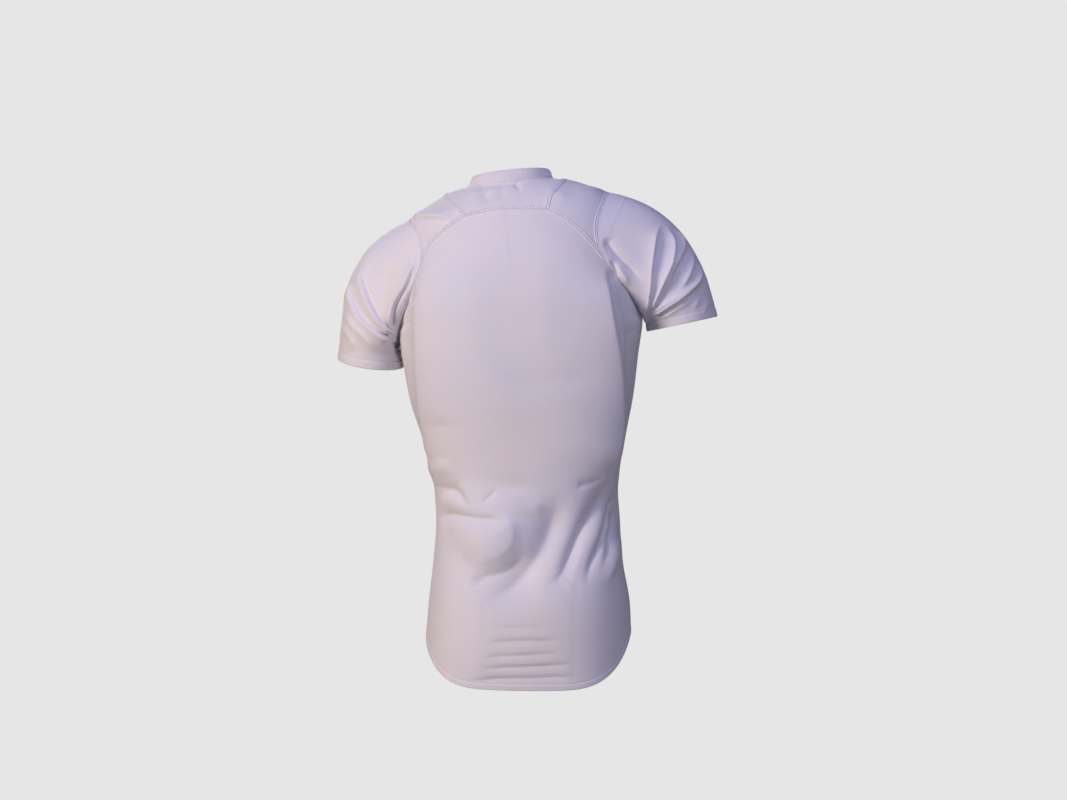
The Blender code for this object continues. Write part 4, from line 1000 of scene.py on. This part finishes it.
# %% Folds of the sleeves
SLEEVE_FOLDS = {
    "left": in_metres((
        # narrow creases, each under the lip of a roll
        (8.8, 4, 2.8, 0.05, 0.8, 0.22, 0.1,
         ((209.5, -112), (207, -122), (204, -133), (199.5, -144), (195, -155), (190, -165), (185, -174),
          (180.5, -182), (175.5, -189), (169.5, -195), (163, -201), (157, -205))),
        (8.8, 4, 2.8, 0.05, 0.8, 0.2, 0.1,
         ((225, -140), (222.5, -151), (218, -161), (212.5, -171), (205.5, -181), (199, -188),
          (191.5, -195), (184.5, -201), (177, -206), (169, -211), (161, -216))),
        (7.6, 4.4, 3, 0.05, 0.6, 0.25, 0.12,
         ((127, -116), (130, -125), (134.5, -136), (140.5, -147), (148, -158), (154, -169), (158, -181),
          (160, -192), (158.5, -201))),
        # rolls
        (-7, 5, 11, 0.1, 0.55, 0.25, 0.15,
         ((122, -102), (127, -113), (131, -123), (136, -135), (142, -146), (150, -157), (156, -168),
          (160, -180), (162, -191), (160, -202))),
        (3.4, 7, 6, 0.45, 0.8, 0.35, 0.35,
         ((156, -104), (162, -116), (168, -128), (172, -141), (174, -155), (174, -169), (170, -186))),
        (3, 8, 5.5, 0.45, 1.0, 0.35, 0.35,
         ((204, -106), (191, -119), (184, -129), (179, -138), (177, -148))),
        (-8.5, 4.2, 12, 0.08, 0.65, 0.2, 0.12,
         ((210, -108), (207.5, -119), (205, -131), (201, -142), (197, -154), (192, -164), (187, -173),
          (183, -181), (179, -188), (173, -195), (166, -201), (158, -207))),
        (-8, 4.2, 12, 0.08, 0.65, 0.2, 0.12,
         ((227, -130), (224, -150), (220, -161), (214, -172), (207, -182), (201, -189), (193, -196),
          (186, -202), (179, -207), (171, -213), (162, -219))),
        (-4.2, 6, 10, 0.3, 0.8, 0.3, 0.25,
         ((236, -168), (231, -178), (225, -186), (219, -194), (211, -202), (202, -210), (195, -218),
          (189, -227), (184, -236))),
        (-3, 6, 8, 0.4, 0.9, 0.3, 0.3,
         ((240, -188), (231, -201), (224, -211), (219, -221), (215, -233))),
        (2.2, 3, 4, 0.3, 1.0, 0.3, 0.4, ((136, -46), (146, -50), (158, -52))),
        (1.8, 3, 4, 0.3, 1.0, 0.3, 0.4, ((128, -62), (138, -66), (148, -66))),
        (1.4, 8, 8, 0.8, 1.0, 0.5, 0.5, ((228, -66), (222, -90), (214, -120))),
        (3.4, 8, 6, 0.4, 1.0, 0.2, 0.4, ((158, -214), (170, -228), (178, -246))),
    )),
    "right": in_metres((
        (-7.2, 2.3, 9, 0.08, 0.9, 0.25, 0.12,
         ((-214, -52), (-211, -62), (-207, -71), (-204.5, -81), (-203, -92), (-201.5, -104),
          (-200, -115), (-198.5, -126), (-198, -137), (-197, -148), (-195, -159), (-193, -170),
          (-189, -182))),
        (-6.8, 2.3, 8.5, 0.08, 0.8, 0.25, 0.12,
         ((-222, -54), (-225, -64), (-228.5, -73), (-230.5, -83), (-230.5, -94), (-229, -103),
          (-227, -112), (-224, -120), (-220, -129), (-216, -138), (-212, -148), (-207, -158),
          (-202, -167), (-194, -179))),
        (-6, 2.4, 8, 0.08, 0.8, 0.25, 0.2,
         ((-232, -56), (-238, -64), (-242, -71), (-244.5, -79), (-244.5, -87), (-242, -95),
          (-239, -102), (-235, -110), (-231, -118), (-227, -127), (-223.5, -135), (-220, -144),
          (-217, -155))),
        (-4.6, 3.4, 7.5, 0.2, 0.8, 0.3, 0.3,
         ((-258, -86), (-258, -97), (-257, -107), (-255, -116), (-252, -125), (-248, -134),
          (-243, -142), (-238, -151))),
        (-7.2, 2.3, 9, 0.08, 0.7, 0.25, 0.1,
         ((-266, -102), (-268, -112), (-268, -121), (-267, -129), (-264, -137), (-258, -144),
          (-251, -151), (-244, -157), (-236, -163), (-223, -170), (-212, -176), (-200, -182))),
        (-3, 3, 5, 0.2, 0.8, 0.3, 0.2,
         ((-254, -145), (-241, -154), (-226, -163), (-212, -170), (-199, -178))),
        (-2.8, 4, 6, 0.35, 0.9, 0.3, 0.2,
         ((-266, -150), (-254, -161), (-245, -168), (-234, -175), (-223, -182), (-209, -188))),
        (-2.2, 3, 5, 0.3, 1.0, 0.4, 0.4, ((-268, -154), (-263, -165), (-257, -175))),
        (-2.4, 3, 5, 0.3, 1.0, 0.4, 0.4, ((-280, -156), (-277, -168), (-271, -182))),
        (4.8, 5, 5.5, 0.3, 0.9, 0.12, 0.35,
         ((-137, -76), (-142, -84), (-149, -93), (-157, -102), (-167, -112), (-175, -120), (-182, -129),
          (-188, -142))),
        (-4, 3.4, 4, 0.2, 1.0, 0.25, 0.35,
         ((-128, -74), (-130, -84), (-132, -96), (-138, -110), (-150, -124))),
        (3.6, 3.4, 3.4, 0.25, 1.0, 0.35, 0.35, ((-145, -106), (-150, -118), (-156, -134))),
        (-3, 4, 5, 0.3, 1.0, 0.3, 0.4, ((-150, -112), (-162, -128), (-172, -146))),
        (3, 5, 5, 0.35, 1.0, 0.3, 0.2, ((-156, -140), (-168, -156), (-182, -176))),
    )),
}
print("folds of the sleeves:", {side: len(folds) for side, folds in SLEEVE_FOLDS.items()})

# %% The sleeve's surface and its normals


def sleeve_surface(side, arm_turn, part):
    """Smooth sleeve, a cubic from the armhole (part 0) to the hem ring (part 1).

    It leaves along a slope that turns from the cap's to the armpit's with the cosine of
    the armhole turn, and arrives along the sleeve's own axis.
    """
    row = dict(zip(SLEEVE_COLUMNS, SLEEVES[side]))
    out = -SIDE_SIGN[side]
    angle = np.radians(arm_turn)
    top_share = 0.5 + 0.5 * np.cos(angle)
    end = np.stack([
        row["hem_x"] + out * row["half_width"] * np.cos(angle),
        row["hem_y"] + row["half_depth"] * np.sin(angle),
        row["hem_z"] + row["outer_rise"] * row["half_width"] * np.cos(angle)
        - row["back_drop"] * row["half_depth"] * np.sin(angle)], axis=-1)
    slope = np.radians(UNDER_SLOPE + (row["cap_slope"] - UNDER_SLOPE) * top_share)
    reach = (row["under_reach"] + (row["cap_reach"] - row["under_reach"]) * top_share)[..., None]
    leave = np.stack([out * np.cos(slope), -CAP_TURN_IN * np.sin(angle), -np.sin(slope)], axis=-1)
    arrive = unit(np.array([out * row["outer_rise"], -row["back_drop"], -1.0]))
    start = on_armhole(body_skin, side, arm_turn)
    return cubic(start, leave * reach, end, arrive * reach, part[..., None])


def sleeve_skin(side, arm_turn, part):
    """The folded sleeve. Its folds grow from nothing at the armhole seam and fade at the hem."""
    def smooth(turn, along):
        return sleeve_surface(side, turn, along)
    points = smooth(arm_turn, part)
    outward = SIDE_SIGN[side] * normals_of(smooth, arm_turn, part, TURN_STEP, PART_STEP)
    behind = smooth_step(*BACK_BEGINS, points[..., 1])
    height = behind * fold_height(points, SLEEVE_FOLDS[side])
    height += (1.0 - behind) * fold_height(points + SLEEVE_FRONT_SHIFT, SLEEVE_FOLDS[side])
    height *= smooth_step(*FOLDS_FROM, part) * smooth_step(*FOLDS_TO, 1.0 - part)
    return points + outward * height[..., None]


def sleeve_normals(side, arm_turn, part):
    """Outward normals of the folded sleeve."""
    def folded(turn, along):
        return sleeve_skin(side, turn, along)
    return SIDE_SIGN[side] * normals_of(folded, arm_turn, part, TURN_STEP, PART_STEP)


# %% Sleeve pieces
SLEEVE_CROWD = (1.5, 1.0, 0.06)         # rows lie closer at the hem
SLEEVE_BACK_CROWD = (1.6, 0.30, 0.18)   # the back of the sleeve has the closest columns
ARMHOLE_FILL = 0.012                    # share of the sleeve over which the lap fills its edge
SLEEVE_PARTS = row_parts(SLEEVE_ROWS, (SLEEVE_CROWD,))
SLEEVE_TURNS = YOKE_TURN + 360.0 * row_parts(SLEEVE_COLUMNS_ROUND, (SLEEVE_BACK_CROWD,))[:-1]
for side in SIDES:
    turn, part = np.broadcast_arrays(SLEEVE_TURNS[None], SLEEVE_PARTS[:, None])
    points = sleeve_skin(side, turn, part)
    steps = np.linalg.norm(np.diff(points, axis=0), axis=-1)
    up_from_hem = np.vstack([np.cumsum(steps[::-1], axis=0)[::-1], np.zeros(len(SLEEVE_TURNS))])
    relief = (hem_relief(up_from_hem, SLEEVE_HEM_WIDTH)
              + GROOVE_DEPTH * np.exp(-(part / ARMHOLE_FILL) ** 2))
    points = points + sleeve_normals(side, turn, part) * relief[..., None]
    points[0] = on_armhole(body_skin, side, SLEEVE_TURNS)
    cloth_piece("sleeve_" + side, points, flip=(side == "left"), closed=True)

# %% [markdown]
# ## Seam bands and stitches
# Stretch jersey is joined by flat seams: the two edges lie over each other under a ladder
# of thread about 5 mm wide. From a step away that is a narrow raised band with a row of
# stitches along each side. A band is a low arch carried along the seam line. Each stitch
# is a small rounded tube, and all of a seam's stitches are one mesh made from arrays.

# %% A seam line as a path with directions
PATH_SPACING = 0.0015


def path_on(surface, normals, first, second):
    """Points, outward normals, directions and cross directions, PATH_SPACING apart along a line."""
    points = surface(first, second)
    lengths = lengths_along(points)
    places = np.linspace(0.0, lengths[-1], int(lengths[-1] / PATH_SPACING) + 1)
    first = np.interp(places, lengths, first)
    second = np.interp(places, lengths, second)
    points = surface(first, second)
    outward = normals(first, second)
    forward = unit(np.gradient(points, axis=0))
    across = unit(np.cross(outward, forward))
    return {"points": points, "outward": outward, "forward": forward, "across": across,
            "length": lengths[-1]}


def body_path(line):
    """The path of a line of body turns and levels."""
    return path_on(body_skin, body_normals, line[:, 0], line[:, 1])


def sleeve_path(side, arm_turn, part):
    """The path of a line of armhole turns and shares of the sleeve's length."""
    return path_on(lambda turn, along: sleeve_skin(side, turn, along),
                   lambda turn, along: sleeve_normals(side, turn, along), arm_turn, part)


# %% Band along a path
BAND_SHAPE = np.linspace(-1.0, 1.0, 13)
RIDGE_PLACE, RIDGE_WIDTH, BAND_SUNK = 0.58, 0.26, 0.0004


def seam_band(name, path, half_width, proud):
    """A band with two rounded ridges and edges sunk into the cloth.

    Its height is proud * exp(-((|a| - place) / width)^2) - sunk * |a|^8, a from -1 to 1 across.
    """
    height = (proud * np.exp(-((np.abs(BAND_SHAPE) - RIDGE_PLACE) / RIDGE_WIDTH) ** 2)
              - BAND_SUNK * np.abs(BAND_SHAPE) ** 8)
    points = (path["points"][:, None] + path["across"][:, None] * half_width * BAND_SHAPE[:, None]
              + path["outward"][:, None] * height[:, None])
    rows, columns = points.shape[:2]
    uv = grid_uv(half_width * BAND_SHAPE, np.linspace(0.0, path["length"], rows))
    piece = make_mesh(name, points.reshape(-1, 3), grid_quads(rows, columns)[:, ::-1], KNIT, uv)


# %% Stitches along a path
STITCH_RINGS = np.linspace(-1.0, 1.0, 5)
STITCH_SIDES = np.radians(np.arange(4) * 90.0)
STITCH_TAPER = 0.7                  # share of the thread's section that is gone at its ends
STITCH_RISE, STITCH_DIP = 0.9, 1.3  # of its middle and towards its ends, over the radius


def stitches(path, offset, step, length, radius, slant=0.0, lift=0.0):
    """Corner points and quads of stitches along a path.

    Stitch k is centred at (k + 1/2) * step. Along it, p from -1 to 1, the thread's middle
    lies radius * (rise - dip * p^2) high and its radius shrinks as root(1 - taper * p^2).
    slant turns each stitch out of the path's direction.
    """
    count = int(path["length"] / step)
    places = (np.arange(count) + 0.5) * step
    grid = np.linspace(0.0, path["length"], len(path["points"]))

    def at(key):
        return np.stack([np.interp(places, grid, path[key][:, k]) for k in range(3)], 1)

    centre, outward = at("points") + offset * at("across"), unit(at("outward"))
    run = unit(at("forward") + slant * at("across"))
    aside = unit(np.cross(outward, run))
    part = STITCH_RINGS
    thread = radius * np.sqrt(1.0 - STITCH_TAPER * part ** 2)
    middle = (centre[:, None] + run[:, None] * (0.5 * length * part)[:, None]
              + outward[:, None] * (lift + radius * (STITCH_RISE - STITCH_DIP * part ** 2))[:, None])
    ring = (aside[:, None, None] * np.cos(STITCH_SIDES)[:, None]
            + outward[:, None, None] * np.sin(STITCH_SIDES)[:, None])
    points = middle[:, :, None] + ring * thread[None, :, None, None]
    cells = grid_quads(len(part), len(STITCH_SIDES), closed=True)
    starts = np.arange(count)[:, None, None] * len(part) * len(STITCH_SIDES)
    return points.reshape(-1, 3), (starts + cells[None]).reshape(-1, 4)


def stitch_piece(name, sets):
    """Several sets of stitches joined into one piece of thread."""
    points = np.concatenate([one[0] for one in sets])
    starts = np.cumsum([0] + [len(one[0]) for one in sets[:-1]])
    quads = np.concatenate([one[1] + start for one, start in zip(sets, starts)])
    piece = make_mesh(name, points, quads, THREAD)
    print("%-22s %6d faces of thread" % (name, len(quads)))


# %% Kinds of flat seam
STITCH_STEP, STITCH_LENGTH, THREAD_RADIUS = 0.0030, 0.0024, 0.00028
RIDGE_STITCH, RIDGE_LIFT = 0.7, 0.8                     # shares of the step and of the height
LADDER_LENGTH, LADDER_THREAD, LADDER_SLANT, LADDER_LIFT = 1.2, 0.7, 1.2, 0.4
FLAT_SEAM_COLUMNS = ("half_width", "proud", "step", "thread")
FLAT_SEAMS = {
    "arch": (0.0036, 0.0009, 0.0048, 0.00045), "short": (0.0032, 0.0009, STITCH_STEP, THREAD_RADIUS),
    "forward": (0.0018, 0.0004, STITCH_STEP, THREAD_RADIUS),
    "side_front": (0.0016, 0.0003, STITCH_STEP, THREAD_RADIUS),
    "neck": (0.0014, 0.0004, STITCH_STEP, THREAD_RADIUS), "armhole": (0.0024, 0.0010, 0.0042, 0.00036),
}


def flat_seam(kind, path, side=None):
    """A band, a row of stitches along each of its ridges, and slanted threads between them."""
    name = kind if side is None else kind + "_" + side
    seam = dict(zip(FLAT_SEAM_COLUMNS, FLAT_SEAMS[kind]))
    half_width, proud, step, thread = (seam[column] for column in FLAT_SEAM_COLUMNS)
    seam_band(name + "_seam", path, half_width, proud)
    rows = [stitches(path, sign * half_width * RIDGE_PLACE, step, RIDGE_STITCH * step, thread,
                     lift=RIDGE_LIFT * proud) for sign in (-1.0, 1.0)]
    rows.append(stitches(path, 0.0, step, LADDER_LENGTH * half_width, LADDER_THREAD * thread,
                         slant=LADDER_SLANT, lift=LADDER_LIFT * proud))
    stitch_piece(name + "_stitches", rows)


# %% Seams of the body
FINE_THREAD, FINE_GAP = 0.00016, 0.0032     # of the thin side-back seams
NECK_SEAM_PLACES = 400
flat_seam("arch", body_path(arch_all))
for side in SIDES:
    flat_seam("short", body_path(shorts[side]), side)
    outer, inner = forward_lines[side]
    flat_seam("forward", body_path(np.vstack([outer, inner[1:]])), side)
    side_back_path = body_path(back_lines[side])
    stitch_piece("side_back_stitches_" + side, [
        stitches(side_back_path, aside, STITCH_STEP, STITCH_LENGTH, FINE_THREAD)
        for aside in (-0.5 * FINE_GAP, 0.5 * FINE_GAP)])
    flat_seam("side_front", body_path(front_lines[side]), side)
neck_turn = np.linspace(0.0, 360.0, NECK_SEAM_PLACES)
flat_seam("neck", body_path(np.column_stack([neck_turn, np.full(NECK_SEAM_PLACES, NECK_LEVEL)])))

# %% [markdown]
# ## Armhole seams
# The sleeve is lapped over the body at the armhole. A band there leans half-way between
# the two, and a row of topstitching runs round the cap, a little below it.

# %% Armhole seams and the topstitching on the cap
TOPSTITCH_PART, TOPSTITCH_TURNS = 0.10, (-40.0, 118.0)
TOPSTITCH_STEP, TOPSTITCH_LENGTH, TOPSTITCH_RADIUS = 0.0048, 0.0030, 0.00042
ARMHOLE_PLACES, CAP_PLACES = 720, 300


def armhole_path(side):
    """The path of an armhole. Its normals lean half-way between the body's and the sleeve's."""
    arm_turn = np.linspace(-180.0, 180.0, ARMHOLE_PLACES)
    return path_on(lambda turn, part: on_armhole(body_skin, side, turn),
                   lambda turn, part: unit(on_armhole(body_normals, side, turn)
                                           + sleeve_normals(side, turn, part + 2 * PART_STEP)),
                   arm_turn, np.zeros_like(arm_turn))


for side in SIDES:
    flat_seam("armhole", armhole_path(side), side)
    cap_turn = np.linspace(*TOPSTITCH_TURNS, CAP_PLACES)
    cap = sleeve_path(side, cap_turn, np.full_like(cap_turn, TOPSTITCH_PART))
    stitch_piece("cap_topstitch_" + side, [
        stitches(cap, 0.0, TOPSTITCH_STEP, TOPSTITCH_LENGTH, TOPSTITCH_RADIUS)])

# %% [markdown]
# ## Hem stitches
# Two needles sew a hem at once, so two rows of stitches run side by side round the shirt
# and round each sleeve.

# %% Twin-needle stitches of the hems
NEEDLE_OFFSETS = (-0.0015, 0.0015)
HEM_PROBE = 0.02                    # share of a sleeve over which its length is measured
HEM_PLACES, SLEEVE_HEM_PLACES = 1200, 700


def hem_path(width):
    """The path on the body skin a hem's width above its edge, all round."""
    turn = np.linspace(0.0, 360.0, HEM_PLACES)
    return body_path(np.column_stack([turn, hem_level(turn) + width]))


def sleeve_hem_path(side, width):
    """The path round a sleeve, a hem's width above its edge."""
    turn = np.linspace(-180.0, 180.0, SLEEVE_HEM_PLACES)
    edge = sleeve_skin(side, turn, np.full_like(turn, 1.0))
    above = sleeve_skin(side, turn, np.full_like(turn, 1.0 - HEM_PROBE))
    return sleeve_path(side, turn, 1.0 - HEM_PROBE * width / np.linalg.norm(edge - above, axis=1))


def needle_rows(name, path_above, width):
    """Two rows of stitches, one on each side of the line where a hem ends."""
    stitch_piece(name, [
        stitches(path_above(width + offset), 0.0, STITCH_STEP, STITCH_LENGTH, THREAD_RADIUS)
        for offset in NEEDLE_OFFSETS])


needle_rows("hem_stitches", hem_path, HEM_WIDTH)
for side in SIDES:
    needle_rows("sleeve_hem_stitches_" + side, lambda width: sleeve_hem_path(side, width),
                SLEEVE_HEM_WIDTH)

# %% [markdown]
# ## Sheets
# Each piece is a sheet of cloth, and the wearer stretches it. Its flat size, the box that
# its pattern needs, and its area, what the pattern covers, aren't worked out here: the
# loop over the sides does nothing.

# %% Sheets
for side in SIDES:
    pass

# %% [markdown]
# ## Studio
# A plain pale studio. A floor disc lies well below the shirt, out of the picture.

# %% Floor
FLOOR_LEVEL, FLOOR_RADIUS = -1.45, 1.3
FLOOR_HOLE, FLOOR_RINGS, FLOOR_SIDES = 0.02, 12, 128


def add_floor():
    """A round floor: radius times cosine and sine of the angle, in rings."""
    angle = np.linspace(0.0, 2.0 * np.pi, FLOOR_SIDES, endpoint=False)
    radius = np.linspace(FLOOR_HOLE, FLOOR_RADIUS, FLOOR_RINGS)[::-1]
    points = np.stack([radius[:, None] * np.cos(angle), radius[:, None] * np.sin(angle),
                       np.full((FLOOR_RINGS, FLOOR_SIDES), FLOOR_LEVEL)], -1).reshape(-1, 3)
    mesh = bpy.data.meshes.new("floor")
    mesh.from_pydata(points, [], grid_quads(FLOOR_RINGS, FLOOR_SIDES, closed=True))
    material, shader = new_material("pale_floor", roughness=0.9, sheen=0.0)
    shader.inputs["Base Color"].default_value = (0.80, 0.80, 0.80, 1.0)
    mesh.materials.append(material)
    floor = bpy.data.objects.new("floor", mesh)
    bpy.context.collection.objects.link(floor)


add_floor()

# %% [markdown]
# ## Light
# A warm key stands at the left of the camera and gives the folds their shade. A blue one
# above and a weak one on the right tint and fill it. One more in front of the shirt shows
# the side that the camera doesn't see. The camera sees a pale surround, but next to none
# of its light falls on the cloth, so the folds stay dark.

# %% Lights
LIGHT_COLUMNS = ("place", "aim", "size", "power", "colour")
LIGHTS = {
    "warm_key": ((1.90, 1.90, 0.40), (0.0, 0.0, -0.25), 0.7, 55.0, (1.0, 0.865, 0.71)),
    "blue_top": ((0.0, 1.61, 1.99), (0.0, 0.0, -0.30), 1.2, 21.0, (0.27, 0.38, 1.0)),
    "right_fill": ((-1.42, 1.90, 0.75), (-0.1, 0.0, -0.15), 1.0, 18.5, (0.88, 0.83, 1.0)),
    "front_fill": ((0.70, -2.20, 0.60), (0.0, 0.0, -0.30), 1.6, 40.0, (0.93, 0.90, 1.0)),
}
SURROUND_SEEN = (0.791, 0.791, 0.791, 1.0)
SURROUND_LIGHT = (0.60, 0.58, 0.80, 1.0)
SURROUND_STRENGTH = 0.01


def add_light(name, place, aim, size, power, colour):
    """A square area light at a place, turned to look at its aim."""
    data = bpy.data.lights.new(name, "AREA")
    data.size, data.energy, data.color = size, power, colour
    light = bpy.data.objects.new(name, data)
    light.location = place
    way = np.array(aim) - np.array(place)
    light.rotation_euler = (np.arctan2(np.hypot(way[0], way[1]), -way[2]), 0.0,
                            np.arctan2(way[1], way[0]) - np.pi / 2)
    bpy.context.collection.objects.link(light)


for name, row in LIGHTS.items():
    add_light(name, **dict(zip(LIGHT_COLUMNS, row)))

# %% Surround
world = bpy.data.worlds.new("surround")
bpy.context.scene.world = world
world.use_nodes = True
tree = world.node_tree
dim = tree.nodes["Background"]
dim.inputs["Color"].default_value = SURROUND_LIGHT
dim.inputs["Strength"].default_value = SURROUND_STRENGTH
seen = add_node(tree, "ShaderNodeBackground", [("Color", SURROUND_SEEN), ("Strength", 1.0)])
ray = add_node(tree, "ShaderNodeLightPath")
mix = add_node(tree, "ShaderNodeMixShader", [(0, ray.outputs["Is Camera Ray"]), (1, dim.outputs[0]),
                                             (2, seen.outputs[0])])
tree.links.new(mix.outputs[0], tree.nodes["World Output"].inputs["Surface"])
bpy.context.scene.view_settings.view_transform = "Standard"
